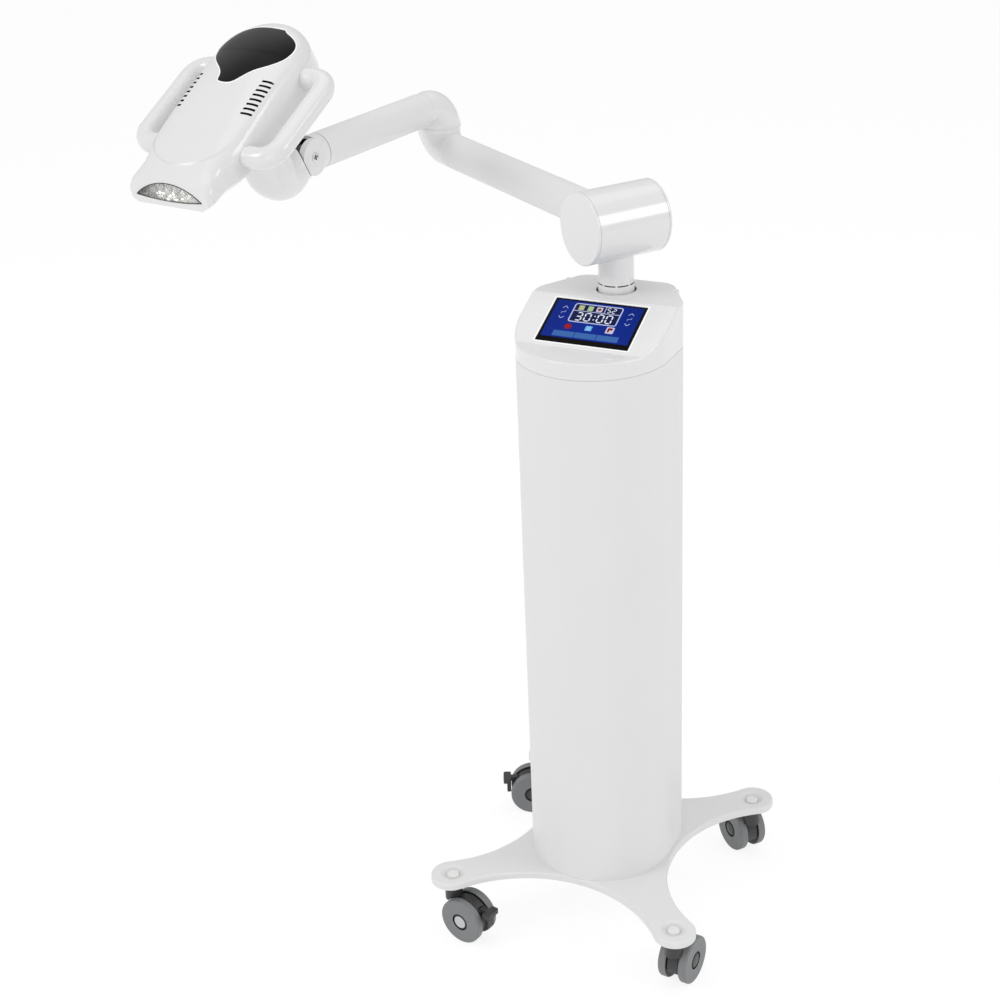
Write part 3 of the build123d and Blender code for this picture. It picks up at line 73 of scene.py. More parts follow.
def framed(origin, right, out):
    """A placing matrix from its origin, its X and its Z."""
    right, out = right.normalized(), out.normalized()
    turn = Matrix((right, out.cross(right), out)).transposed()
    return Matrix.Translation(origin) @ turn.to_4x4()


# Frames of the moving bodies, and the level at which the post turns.
LEVEL = joint_place("post_swivel").z
HEAD_RISE = 111.0 * MM
HEAD = framed(joint_place("head_swivel") + joint_axis("head_swivel") * HEAD_RISE,
              joint_axis("wrist_pitch"), joint_axis("head_swivel"))
WRIST = framed(joint_place("wrist_pitch"), Vector((0, 0, 1)), joint_axis("wrist_pitch"))
CASTORS = ("front_left", "front_right", "rear_left", "rear_right")
WHEELS = {name: framed(joint_place("roll_" + name), Vector((0, 0, 1)), joint_axis("roll_" + name))
          for name in CASTORS}
NOSE_TILT = math.radians(24.0)
NOSE_OUT = HEAD.to_3x3() @ Vector((0.0, -math.cos(NOSE_TILT), math.sin(NOSE_TILT)))


# Shader nodes.

class Wire:
    """One output in a material's node tree. Arithmetic on it adds Math nodes."""

    def __init__(self, paint, socket):
        self.paint = paint
        self.socket = socket

    def _math(self, operation, first, second):
        return self.paint.node("ShaderNodeMath", {"operation": operation}, {0: first, 1: second})

    def __add__(self, other):
        return self._math("ADD", self, other)

    def __radd__(self, other):
        return self._math("ADD", other, self)

    def __sub__(self, other):
        return self._math("SUBTRACT", self, other)

    def __rsub__(self, other):
        return self._math("SUBTRACT", other, self)

    def __mul__(self, other):
        return self._math("MULTIPLY", self, other)

    def __rmul__(self, other):
        return self._math("MULTIPLY", other, self)

    def __truediv__(self, other):
        return self._math("DIVIDE", self, other)

    def __gt__(self, other):
        return self._math("GREATER_THAN", self, other)

    def __lt__(self, other):
        return self._math("LESS_THAN", self, other)


class Paint:
    """A material with one Principled shader."""

    def __init__(self, name, roughness, metallic=0.0, **constants):
        self.material = bpy.data.materials.new(name)
        self.material.use_nodes = True
        self.tree = self.material.node_tree
        self.shader = self.tree.nodes["Principled BSDF"]
        self.shader.inputs["Roughness"].default_value = roughness
        self.shader.inputs["Metallic"].default_value = metallic
        for key, value in constants.items():
            self.shader.inputs[key.replace("_", " ")].default_value = value

    def node(self, kind, settings=None, inputs=None, output=0):
        node = self.tree.nodes.new(kind)
        for key, value in (settings or {}).items():
            setattr(node, key, value)
        for key, value in (inputs or {}).items():
            if isinstance(value, Wire):
                self.tree.links.new(value.socket, node.inputs[key])
            else:
                node.inputs[key].default_value = value
        return Wire(self, node.outputs[output])

    def feed(self, name, wire):
        self.tree.links.new(wire.socket, self.shader.inputs[name])

    def place(self, turn=(0, 0, 0), centre=(0, 0, 0), scale=(1, 1, 1)):
        """Object coordinates, moved so that the centre is zero, then turned."""
        here = self.node("ShaderNodeTexCoord", output="Object")
        moved = self.node("ShaderNodeVectorMath", {"operation": "SUBTRACT"}, {0: here, 1: centre})
        return self.node("ShaderNodeMapping", inputs={
            "Vector": moved, "Rotation": turn, "Scale": scale})

    def within(self, where):
        """X, Y and Z in a frame of the CAD."""
        turned = self.place(where.to_3x3().transposed().to_euler(), where.translation)
        return axis_parts(self, turned)

    def math(self, operation, first, second=0.0):
        return self.node("ShaderNodeMath", {"operation": operation}, {0: first, 1: second})

    def reach(self, first, second):
        """The distance from an axis."""
        return self.math("SQRT", first * first + second * second)

    def ramp(self, value, start, end):
        """Zero before the start and one after the end."""
        return self.node("ShaderNodeMapRange", {"interpolation_type": "SMOOTHSTEP"}, {
            "Value": value, "From Min": start, "From Max": end})

    def noise(self, place, scale, detail=2.0, roughness=0.5):
        return self.node("ShaderNodeTexNoise", inputs={
            "Vector": place, "Scale": scale, "Detail": detail, "Roughness": roughness})

    def blend(self, factor, first, second):
        def colour(value):
            return value if isinstance(value, Wire) else (*value, 1.0)
        return self.node("ShaderNodeMix", {"data_type": "RGBA"},
                         {"Factor": factor, 6: colour(first), 7: colour(second)}, output=2)

    def bump(self, height, distance, strength=1.0):
        self.feed("Normal", self.node("ShaderNodeBump", inputs={
            "Height": height, "Distance": distance, "Strength": strength}))


def axis_parts(paint, place):
    return [paint.node("ShaderNodeSeparateXYZ", inputs={"Vector": place}, output=number)
            for number in range(3)]


def moulded(name, colour, shade, roughness, grain, relief, coat=0.0, wear=0.03, painted_light=None,
            form=None, specular=0.5):
    """Painted or moulded finish: faint clouds in the colour, a fine skin in the relief.
    The painted light argument gives a mask and the colour under it, for painted shade and painted
    sheen, and form gives a height in metres."""
    paint = Paint(name, roughness, Coat_Weight=coat, Coat_Roughness=0.05,
                  Specular_IOR_Level=specular)
    here = paint.place()
    clouds = paint.noise(here, 9.0, 3.0)
    fine = paint.noise(here, grain, 2.0)
    tint = paint.blend(clouds * 0.8 + fine * 0.2, colour, shade)
    height = fine * relief
    if painted_light:
        mask, under = painted_light(paint)
        tint = paint.blend(mask, tint, under)
    if form:
        height = height + form(paint)
    paint.feed("Base Color", tint)
    paint.feed("Roughness", roughness - wear / 2 + clouds * wear)
    paint.bump(height, 1.0)
    return paint.material


def metal(name, colour, shade, roughness, turn, stretch):
    """Bright metal with fine lines left by the tool."""
    paint = Paint(name, roughness, metallic=1.0)
    here = paint.place(turn=turn, scale=stretch)
    lines = paint.noise(here, 60.0, 3.0, 0.6)
    paint.feed("Base Color", paint.blend(lines, colour, shade))
    paint.feed("Roughness", roughness * 0.8 + lines * (roughness * 0.5))
    paint.bump(lines, 0.00004)
    return paint.material


WHITE = (0.83, 0.83, 0.83)
WHITE_SHADE = (0.80, 0.80, 0.805)
FINISH = {
    "white_metal": moulded("powder coat", WHITE, WHITE_SHADE, 0.42, 900.0, 0.00006, 0.1),
    "white_shell": moulded("white moulding", WHITE, WHITE_SHADE, 0.2, 700.0, 0.00001, 0.5),
    "white_matte": moulded("white plug", (0.86, 0.86, 0.84), (0.83, 0.83, 0.81), 0.5, 900.0,
                           0.00003),
    "dark_plastic": moulded("dark plastic", (0.03, 0.03, 0.032), (0.045, 0.045, 0.047), 0.4, 800.0,
                            0.00005),
    "steel": metal("turned steel", (0.62, 0.62, 0.63), (0.5, 0.5, 0.52), 0.3, (0, 0, 0),
                   (1, 1, 12)),
    "iron": moulded("cast iron", (0.06, 0.06, 0.06), (0.1, 0.1, 0.1), 0.7, 400.0, 0.0002),
    "bronze": metal("bronze", (0.62, 0.40, 0.16), (0.5, 0.3, 0.12), 0.35, (0, 0, 0), (1, 1, 10)),
    "chrome": metal("chrome", (0.8, 0.8, 0.8), (0.72, 0.72, 0.74), 0.1, (0, 0, 0), (1, 1, 1)),
    "aluminium": metal("milled aluminium", (0.7, 0.7, 0.71), (0.6, 0.6, 0.62), 0.32, (0, 0, 0),
                       (10, 1, 1)),
    "board_green": moulded("board green", (0.01, 0.09, 0.035), (0.02, 0.12, 0.05), 0.45, 900.0,
                           0.00004),
    "screen_glass": moulded("screen glass", (0.002, 0.001, 0.001), (0.003, 0.002, 0.002), 0.3,
                            300.0, 0.0, 0.0, 0.02, specular=0.05),
}
# A whiter rim finish with a faint glow of its own: painted highlight along the panel's edge and
# round the screen.
GLOWING_RIM = moulded("rim white with painted glow", (0.97, 0.97, 0.97), (0.95, 0.95, 0.95), 0.2, 700.0, 0.00001, 0.6)
GLOWING_RIM_SHADER = GLOWING_RIM.node_tree.nodes["Principled BSDF"]
GLOWING_RIM_SHADER.inputs["Emission Color"].default_value = (1.0, 1.0, 1.0, 1.0)
GLOWING_RIM_SHADER.inputs["Emission Strength"].default_value = 0.12
# The near-black of the painted shade in slots, gaps, vents and wheel recesses.
PAINTED_SHADE = (0.012, 0.012, 0.013)

# Where painted shade goes in the hollows, seams, vents, leg bowls and wheel recesses, for the
# functions below.
FORK_REACH, FORK_HALF_SLOT = 25.5 * MM, 12.4 * MM
SEAM_PLACE, SEAM_HALF_WIDTH = 30.65 * MM, 0.8 * MM
TONGUE_REACH = 29.3 * MM
RING_FLOOR = 25.9 * MM
VENT_OUT, VENT_PITCH, VENT_FIRST, VENT_LEAN = 61.6 * MM, 4.4 * MM, 21.4 * MM, 0.306
VENT_MIDDLE, VENT_HALF_ROW = 9.4 * MM, 34.0 * MM
VENT_HALF_WIDTH, VENT_HALF_LENGTH, VENT_FLOOR = 1.9 * MM, 7.2 * MM, -14.0 * MM
LEG_PLACE = 185.0 * MM
HUB_REACH, WHEEL_INNER = 14.3 * MM, 10.6 * MM


def fork_painted_shade(paint):
    """Painted shade: the slot between the fork's cheeks and the seam at the forearm are darkened,
    where shadow falls in them.
    """
    across, along, side = paint.within(WRIST)
    near = paint.reach(across, along) < FORK_REACH
    inner = paint.math("ABSOLUTE", side) < FORK_HALF_SLOT
    seam = (paint.math("ABSOLUTE", along + SEAM_PLACE) < SEAM_HALF_WIDTH) * 0.95
    return paint.math("MAXIMUM", near * inner, seam), PAINTED_SHADE


def tongue_painted_shade(paint):
    """Painted shade: the tongue and the faces beside it are darkened, where shadow falls in the gap
    between them.
    """
    across, along, side = paint.within(WRIST)
    return paint.reach(across, along) < TONGUE_REACH, PAINTED_SHADE


def ring_painted_shade(paint):
    """Painted shade: the floors of the ring's slots are darkened, where shadow falls in them."""
    across, along, up = paint.within(Matrix.Translation(joint_place("post_swivel")))
    return paint.reach(across, along) < RING_FLOOR, PAINTED_SHADE


def tongue_form(paint):
    """The low step where the head's raised top ends in an arc behind the nose."""
    across, along, up = paint.within(HEAD)
    forward = paint.math("MAXIMUM", (along + 85.0 * MM) * -1.0, 0.0)
    inside = 1.0 - paint.ramp(paint.reach(across * 0.88, forward), 56.5 * MM, 61.5 * MM)
    return inside * paint.ramp(along * -1.0, 80.0 * MM, 118.0 * MM) * 0.0016


def vent_painted_shade(paint):
    """Painted shade: the walls of the slanted slots are darkened, and so is the dead space under
    them.
    """
    across, along, up = paint.within(HEAD)
    out = paint.math("ABSOLUTE", across) - VENT_OUT
    fold = paint.math("PINGPONG", along - VENT_FIRST - out * VENT_LEAN, VENT_PITCH)
    row = paint.math("ABSOLUTE", along + VENT_MIDDLE) < VENT_HALF_ROW
    within_slot = (fold < VENT_HALF_WIDTH) * (paint.math("ABSOLUTE", out) < VENT_HALF_LENGTH)
    return within_slot * row * (up > VENT_FLOOR), PAINTED_SHADE


def panel_painted_sheen(paint):
    """Painted sheen: the panel is lighter towards its rear left, as the reflection of a soft
    window.
    """
    across, along, up = paint.within(HEAD)
    return paint.ramp(along * 0.6 - across * 0.8, 0.0, 85.0 * MM), (0.044, 0.044, 0.045)


def leg_painted_shade(paint):
    """Painted shade: each leg's bowl is a little darker round its plug."""
    across, along, up = paint.within(Matrix.Identity(4))
    away = paint.reach(paint.math("ABSOLUTE", across) - LEG_PLACE,
                       paint.math("ABSOLUTE", along) - LEG_PLACE)
    return (1.0 - paint.ramp(away, 11.0 * MM, 18.5 * MM)) * 0.6, (0.6, 0.6, 0.61)


def wheel_painted_shade(where):
    def painted_light(paint):
        """Painted shade: the recess round the hub cap and the inner sides are darkened, where
        shadow falls.
        """
        across, along, side = paint.within(where)
        hub = paint.reach(across, along) < HUB_REACH
        inner = paint.math("ABSOLUTE", side) < WHEEL_INNER
        return paint.math("MAXIMUM", hub, inner), PAINTED_SHADE
    return painted_light


def shell(name, painted_light=None, form=None, roughness=0.2, coat=0.5):
    return moulded(name, WHITE, WHITE_SHADE, roughness, 700.0, 0.00001, coat, 0.03, painted_light, form)


def reflector_finish():
    """Bright metal, dimpled all over."""
    paint = Paint("reflector", 0.24, metallic=0.85)
    here = paint.place()
    cells = paint.node("ShaderNodeTexVoronoi", inputs={"Vector": here, "Scale": 95.0})
    paint.feed("Base Color", paint.blend(cells, (0.98, 0.98, 0.97), (0.9, 0.9, 0.89)))
    paint.feed("Roughness", 0.2 + cells * 0.12)
    paint.bump(cells * cells, 0.0014)
    return paint.material


NODE_FINISH = {
    "wrist_fork": shell("fork moulding with painted shade", fork_painted_shade),
    "wrist_elbow": shell("wrist moulding with painted shade", tongue_painted_shade),
    "slotted_ring": shell("ring moulding with painted shade", ring_painted_shade),
    "base_plate": moulded("base coat with painted shade", WHITE, WHITE_SHADE, 0.42, 900.0, 0.00006, 0.1, 0.03,
                          leg_painted_shade),
    "head_upper_shell": shell("head moulding with painted shade", vent_painted_shade, tongue_form),
    "head_top_panel": moulded("panel gloss with painted sheen", (0.0015, 0.0015, 0.0015), (0.0025, 0.0025, 0.0025),
                              0.28, 500.0, 0.000005, 0.0, 0.04, panel_painted_sheen, specular=0.15),
    "led_lenses": moulded("lens white", (0.9, 0.9, 0.89), (0.85, 0.85, 0.84), 0.12, 500.0, 0.00001,
                          0.8),
    "shoulder_barrel": shell("barrel gloss", None, None, 0.2, 1.0),
    "lamp_reflector": reflector_finish(),
}
for name in CASTORS:
    NODE_FINISH["castor_wheels_" + name] = moulded(
        "tread grey with painted shade " + name.replace("_", " "), (0.2, 0.205, 0.21), (0.23, 0.235, 0.24), 0.5, 600.0,
        0.00008, 0.0, 0.03, wheel_painted_shade(WHEELS[name]))


def clear_finish():
    paint = Paint("clear window", 0.03, IOR=1.46, Transmission_Weight=1.0)
    here = paint.place()
    haze = paint.noise(here, 220.0)
    paint.feed("Base Color", paint.blend(haze, (0.97, 0.97, 0.96), (0.93, 0.93, 0.92)))
    paint.feed("Roughness", 0.02 + haze * 0.03)
    return paint.material


FINISH["clear_glass"] = clear_finish()

for row in frame["record"]["subparts"]:
    mesh = NODES[row["node"]].data
    mesh.materials.clear()
    mesh.materials.append(NODE_FINISH.get(row["node"]) or FINISH[row["material_slot"]])


# Making and placing pieces.

def alone(piece):
    """Selects one object and makes it the active one."""
    bpy.ops.object.select_all(action="DESELECT")
    piece.select_set(True)
    bpy.context.view_layer.objects.active = piece


def cube(size, centre=(0, 0, 0)):
    bpy.ops.object.select_all(action="DESELECT")
    bpy.ops.mesh.primitive_cube_add(size=1.0, location=centre)
    bpy.context.object.scale = size
    bpy.ops.object.transform_apply(location=True, rotation=True, scale=True)
    return bpy.context.object


def cylinder(radius, depth, centre=(0, 0, 0), sides=48):
    bpy.ops.object.select_all(action="DESELECT")
    bpy.ops.mesh.primitive_cylinder_add(vertices=sides, radius=radius, depth=depth, location=centre)
    bpy.ops.object.transform_apply(location=True, rotation=True, scale=True)
    return bpy.context.object


def pick(piece, kind, test):
    """In edit mode, selects the vertices, edges or faces that pass a test, and nothing else."""
    alone(piece)
    if bpy.context.mode != "EDIT_MESH":
        bpy.ops.object.mode_set(mode="EDIT")
    bpy.ops.mesh.select_mode(type=kind)
    bpy.ops.mesh.select_all(action="DESELECT")
    mesh = bmesh.from_edit_mesh(piece.data)
    parts = {"VERT": mesh.verts, "EDGE": mesh.edges, "FACE": mesh.faces}[kind]
    for part in parts:
        if test(part):
            part.select_set(True)
    mesh.select_flush_mode()
    bmesh.update_edit_mesh(piece.data)


def leave_edit():
    bpy.ops.object.mode_set(mode="OBJECT")


def upright(edge):
    way = edge.verts[1].co - edge.verts[0].co
    return abs(way.z) > 0.9 * way.length


def round_corners(piece, radius, segments=5):
    """Rounds the edges that stand upright."""
    pick(piece, "EDGE", upright)
    bpy.ops.mesh.bevel(offset=radius, segments=segments, affect="EDGES")
    leave_edit()


def soften(piece, width, segments=3, angle=30.0):
    """Rounds every sharp edge with a bevel that is applied."""
    alone(piece)
    bevel = piece.modifiers.new("soft edges", "BEVEL")
    bevel.width = width
    bevel.segments = segments
    bevel.limit_method = "ANGLE"
    bevel.angle_limit = math.radians(angle)
    bpy.ops.object.modifier_apply(modifier=bevel.name)


def merge(pieces):
    bpy.ops.object.select_all(action="DESELECT")
    for piece in pieces:
        piece.select_set(True)
    bpy.context.view_layer.objects.active = pieces[0]
    if len(pieces) > 1:
        bpy.ops.object.join()
    return bpy.context.object


def settle(piece, name, body, material, where=Matrix.Identity(4), angle=35.0):
    """Puts a finished piece in its place, smooth where it is not creased, and gives it its body."""
    alone(piece)
    piece.name = name
    piece.data.name = name
    piece.matrix_world = where @ piece.matrix_world
    bpy.ops.object.transform_apply(location=True, rotation=True, scale=True)
    bpy.ops.object.shade_smooth_by_angle(angle=math.radians(angle))
    piece.data.materials.clear()
    piece.data.materials.append(material)
    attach(piece, body)
    return piece


# Screen. Its frame has X to the right, Y up the slope and Z out of the glass.

SLOPE = math.atan2(0.042, 0.097)
SCREEN = Matrix.Translation((0.0, -0.0215, LEVEL - 0.034)) @ Matrix.Rotation(SLOPE, 4, "X")
SCREEN_SIZE = (0.141, 0.090)


def lit(name, colour, level=1.0, spread=0.06):
    """A patch of the display, which shines in its own colour."""
    paint = Paint(name, 0.35, Specular_IOR_Level=0.04, Emission_Strength=level)
    here = paint.place()
    cells = paint.noise(here, 1400.0, 1.0)
    dim = tuple(part * (1.0 - spread * 2) for part in colour)
    paint.feed("Base Color", paint.blend(cells, (0.002, 0.002, 0.003), (0.004, 0.004, 0.005)))
    paint.feed("Emission Color", paint.blend(cells, colour, dim))
    return paint.material


def picture_finish():
    """Deep blue, lighter at the middle and along a band near the foot."""
    paint = Paint("display blue", 0.35, Specular_IOR_Level=0.04, Emission_Strength=1.0)
    here = paint.place(turn=(-SLOPE, 0, 0))
    across, up, out = paint.within(SCREEN)
    fine = paint.noise(here, 1200.0, 1.0)
    edge = paint.math("ABSOLUTE", across)
    fade = paint.node("ShaderNodeMapRange", inputs={
        "Value": edge, "From Min": 0.02, "From Max": 0.066, "To Min": 0.0, "To Max": 1.0})
    low = paint.node("ShaderNodeMapRange", inputs={
        "Value": up, "From Min": 0.035, "From Max": -0.035, "To Min": 0.0, "To Max": 1.0})
    base = paint.blend(fade * 0.7 + fine * 0.2, (0.002, 0.018, 0.24), (0.003, 0.016, 0.17))
    paint.feed("Emission Color", paint.blend(low * 0.4, base, (0.003, 0.024, 0.3)))
    paint.feed("Base Color", paint.blend(fine, (0.001, 0.002, 0.01), (0.002, 0.003, 0.014)))
    return paint.material


def tile(left, top, right, foot, corner=0.0, level=0.05, thick=0.08):
    """A thin plate on the screen, given in millimetres from the screen's top left corner."""
    width, height = (right - left) * MM, (foot - top) * MM
    x = (left + right) / 2 * MM - SCREEN_SIZE[0] / 2
    y = SCREEN_SIZE[1] / 2 - (top + foot) / 2 * MM
    plate = cube((width, height, thick * MM), (x, y, (level + thick / 2) * MM))
    if corner:
        round_corners(plate, corner * MM)
    return plate


def bar(start, end, width, level, thick=0.06):
    """A stroke between two points on the screen."""
    a, b = Vector(start), Vector(end)
    plate = cube(((b - a).length * MM, width * MM, thick * MM))
    middle = (a + b) / 2
    turn = math.atan2(-(b - a).y, (b - a).x)
    plate.matrix_world = (Matrix.Translation((middle.x * MM - SCREEN_SIZE[0] / 2,
                                              SCREEN_SIZE[1] / 2 - middle.y * MM, level * MM))
                          @ Matrix.Rotation(turn, 4, "Z"))
    alone(plate)
    bpy.ops.object.transform_apply(location=True, rotation=True, scale=True)
    return plate


def strokes(points, width, level):
    """A line of bars from point to point."""
    return [bar(start, end, width, level) for start, end in zip(points, points[1:])]


SEGMENTS = {"0": "abcdef", "2": "abged", "3": "abgcd", "5": "afgcd"}


def digit(value, left, top, width, height, stroke, level):
    """One numeral made of up to seven bars."""
    right, foot, middle = left + width, top + height, top + height / 2
    gap = stroke * 0.55
    rails = {
        "a": ((left + gap, top), (right - gap, top)),
        "b": ((right, top + gap), (right, middle - gap)),
        "c": ((right, middle + gap), (right, foot - gap)),
        "d": ((left + gap, foot), (right - gap, foot)),
        "e": ((left, middle + gap), (left, foot - gap)),
        "f": ((left, top + gap), (left, middle - gap)),
        "g": ((left + gap, middle), (right - gap, middle))}
    return [bar(*rails[key], stroke, level) for key in SEGMENTS[value]]


def show(piece, name, material):
    """Settles a piece of the display."""
    return settle(piece, name, "stand", material, SCREEN)


def screen():
    front = cube((SCREEN_SIZE[0], SCREEN_SIZE[1], 3.0 * MM), (0, 0, -1.75 * MM))
    round_corners(front, 0.9 * MM)
    soften(front, 0.3 * MM)
    show(front, "screen_front", FINISH["screen_glass"])
    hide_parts("screen_glass")

    # The white frame round the glass takes the glowing rim finish, a painted highlight.
    outer = cube((SCREEN_SIZE[0] + 4.6 * MM, SCREEN_SIZE[1] + 4.6 * MM, 1.2 * MM), (0, 0, 0.1 * MM))
    round_corners(outer, 2.6 * MM)
    pick(outer, "FACE", lambda face: face.normal.z > 0.9)
    bpy.ops.mesh.inset(thickness=2.2 * MM, depth=0.0)
    bpy.ops.mesh.extrude_region_move(TRANSFORM_OT_translate={"value": (0, 0, -1.1 * MM)})
    leave_edit()
    soften(outer, 0.25 * MM)
    settle(outer, "screen_edge", "stand", GLOWING_RIM, SCREEN)

    level = -0.25
    picture = tile(4.4, 3.6, 136.2, 79.0, 0.8, level)
    show(picture, "screen_picture", picture_finish())

    level += 0.09
    navy = tile(34.0, 7.8, 106.0, 44.6, 4.0, level)
    show(navy, "screen_readout", lit("display navy", (0.006, 0.012, 0.07)))

    level += 0.09
    frame_lines = [tile(33.0, 10.5, 34.8, 42.0, 0, level), tile(105.2, 10.5, 107.0, 42.0, 0, level),
                   tile(36.5, 6.8, 103.5, 8.6, 0, level), tile(36.5, 43.8, 103.5, 45.6, 0, level),
                   tile(34.6, 21.6, 105.4, 22.8, 0, level), tile(80.2, 8.4, 81.4, 21.8, 0, level)]
    for x, y, first in ((37.2, 11.0, 90), (102.8, 11.0, 0), (102.8, 41.4, 270), (37.2, 41.4, 180)):
        angles = [math.radians(first + 90 * share / 4) for share in range(5)]
        arc = [(x + 3.3 * math.cos(a), y - 3.3 * math.sin(a)) for a in angles]
        frame_lines += strokes(arc, 1.8, level)
    lines = merge(frame_lines)
    show(lines, "screen_lines", lit("display line", (0.52, 0.58, 0.86)))

    numerals = []
    for value, left in (("3", 42.6), ("0", 55.8), ("0", 75.2), ("0", 88.4)):
        numerals += digit(value, left, 25.4, 8.2, 15.6, 2.0, level)
    numerals += [tile(69.2, 28.6, 71.2, 30.6, 0, level), tile(69.2, 36.0, 71.2, 38.0, 0, level)]
    for value, left in (("5", 84.2), ("2", 91.8)):
        numerals += digit(value, left, 10.6, 4.8, 8.8, 1.3, level)
    numerals = merge(numerals)
    show(numerals, "screen_numerals", lit("display white", (0.86, 0.9, 1.0)))

    yellow = tile(40.4, 10.8, 48.6, 20.4, 1.0, level)
    show(yellow, "screen_icon_yellow", lit("display yellow", (0.5, 0.52, 0.25)))
    green = tile(54.4, 10.8, 62.4, 20.4, 1.0, level)
    show(green, "screen_icon_green", lit("display green", (0.42, 0.58, 0.3)))
    pale = [tile(67.6, 10.8, 76.6, 20.4, 1.0, level), tile(95.8, 47.6, 107.6, 60.6, 1.6, level)]
    show(merge(pale), "screen_icon_plates", lit("display pale", (0.6, 0.6, 0.72)))

    diamond = cube((4.6 * MM, 4.6 * MM, 0.08 * MM))
    diamond.matrix_world = (Matrix.Translation((1.6 * MM, 29.4 * MM, (level + 0.1) * MM))
                            @ Matrix.Rotation(math.radians(45), 4, "Z"))
    alone(diamond)
    bpy.ops.object.transform_apply(location=True, rotation=True, scale=True)
    mark = [diamond, tile(98.0, 49.6, 105.4, 54.0, 1.2, level + 0.1),
            tile(98.0, 49.8, 101.0, 58.4, 1.2, level + 0.1)]
    show(merge(mark), "screen_icon_red", lit("display red", (0.26, 0.01, 0.01)))

    knob_x, knob_y = 38.4 * MM - SCREEN_SIZE[0] / 2, SCREEN_SIZE[1] / 2 - 55.4 * MM
    knob = cylinder(5.6 * MM, 0.08 * MM, (knob_x, knob_y, level * MM))
    show(knob, "screen_button_round", lit("display red glow", (0.26, 0.01, 0.02)))
    ring = cylinder(3.4 * MM, 0.08 * MM, (knob_x, knob_y, (level + 0.1) * MM))
    show(ring, "screen_button_heart", lit("display bright red", (0.36, 0.012, 0.015)))
    button = tile(64.6, 50.2, 74.8, 60.2, 1.2, level)
    show(button, "screen_button_square", lit("display sky", (0.12, 0.42, 0.78)))
    rows = [tile(66.6, 52.6 + 2.4 * row, 72.8, 53.6 + 2.4 * row, 0, level + 0.1)
            for row in range(3)]
    show(merge(rows), "screen_button_rows", lit("display mist", (0.4, 0.72, 0.95)))
    labels = [tile(20.8, 65.6, 53.2, 76.6, 0.8, level), tile(54.2, 65.6, 86.4, 76.6, 0.8, level),
              tile(87.4, 65.6, 120.0, 76.6, 0.8, level)]
    show(merge(labels), "screen_labels", lit("display band", (0.045, 0.14, 0.42)))

    arrows = []
    for left in (17.0, 117.6):
        arrows += strokes([(left, 19.6), (left + 4.0, 15.4), (left + 8.0, 19.6)], 1.3, level)
        arrows += strokes([(left, 36.6), (left + 4.0, 40.8), (left + 8.0, 36.6)], 1.3, level)
        hook = [(left + 1.4, 31.4), (left + 1.4, 27.6), (left + 6.6, 27.6), (left + 6.6, 24.0)]
        arrows += strokes(hook, 0.8, level)
    show(merge(arrows), "screen_arrows", lit("display arrow", (0.34, 0.4, 0.72)))


screen()


# Beads along edges, screws, hub caps and the plates under the vents.

def edge_bead(node, out, radius, lift, name, body, material):
    """A round bead along the outline of a node's outer face, made from a copy of the node."""
    alone(NODES[node])
    bpy.ops.object.duplicate()
    piece = bpy.context.object
    bpy.ops.object.parent_clear(type="CLEAR_KEEP_TRANSFORM")
    bpy.ops.object.mode_set(mode="EDIT")
    bpy.ops.mesh.select_all(action="SELECT")
    bpy.ops.mesh.remove_doubles(threshold=1e-5)
    leave_edit()
    pick(piece, "FACE", lambda face: face.normal.dot(out) < 0.3)
    bpy.ops.mesh.delete(type="FACE")
    bpy.ops.mesh.select_all(action="SELECT")
    bpy.ops.mesh.region_to_loop()
    bpy.ops.mesh.select_all(action="INVERT")
    bpy.ops.mesh.delete(type="EDGE_FACE")
    bpy.ops.mesh.select_all(action="SELECT")
    bpy.ops.mesh.delete_loose(use_verts=True, use_edges=False, use_faces=False)
    bpy.ops.mesh.select_all(action="SELECT")
    bpy.ops.transform.translate(value=out * lift)
    leave_edit()
    bpy.ops.object.convert(target="CURVE")
    bpy.context.object.data.bevel_depth = radius
    bpy.context.object.data.bevel_resolution = 2
    bpy.ops.object.convert(target="MESH")
    return settle(bpy.context.object, name, body, material)


def cut(piece, tool):
    """Takes one closed piece away from another."""
    alone(piece)
    step = piece.modifiers.new("cut", "BOOLEAN")
    step.operation = "DIFFERENCE"
    step.object = tool
    bpy.ops.object.modifier_apply(modifier=step.name)
    bpy.data.objects.remove(tool)


def screw(radius, height, name, body, where, places=((0, 0),)):
    """Low round heads, each with a cross recess whose floor is a dark sheet: painted shade in the
    recess.
    """
    heads, recess_shade_floors = [], []
    for x, y in places:
        head = cylinder(radius, height, (x, y, 0))
        soften(head, height * 0.35)
        for turn in (0, 90):
            slot = cube((radius * 1.15, radius * 0.26, height))
            slot.matrix_world = (Matrix.Translation((x, y, height * 0.75))
                                 @ Matrix.Rotation(math.radians(turn + 20), 4, "Z"))
            cut(head, slot)
            # Painted shade: a dark sheet on the floor of each stroke of the recess.
            floor = cube((radius * 1.1, radius * 0.22, height * 0.1))
            floor.matrix_world = (Matrix.Translation((x, y, height * 0.3))
                                  @ Matrix.Rotation(math.radians(turn + 20), 4, "Z"))
            alone(floor)
            bpy.ops.object.transform_apply(location=True, rotation=True, scale=True)
            recess_shade_floors.append(floor)
        heads.append(head)
    settle(merge(heads), name, body, FINISH["chrome"], where)
    settle(merge(recess_shade_floors), name + "_recess_shade", body, FINISH["dark_plastic"], where)


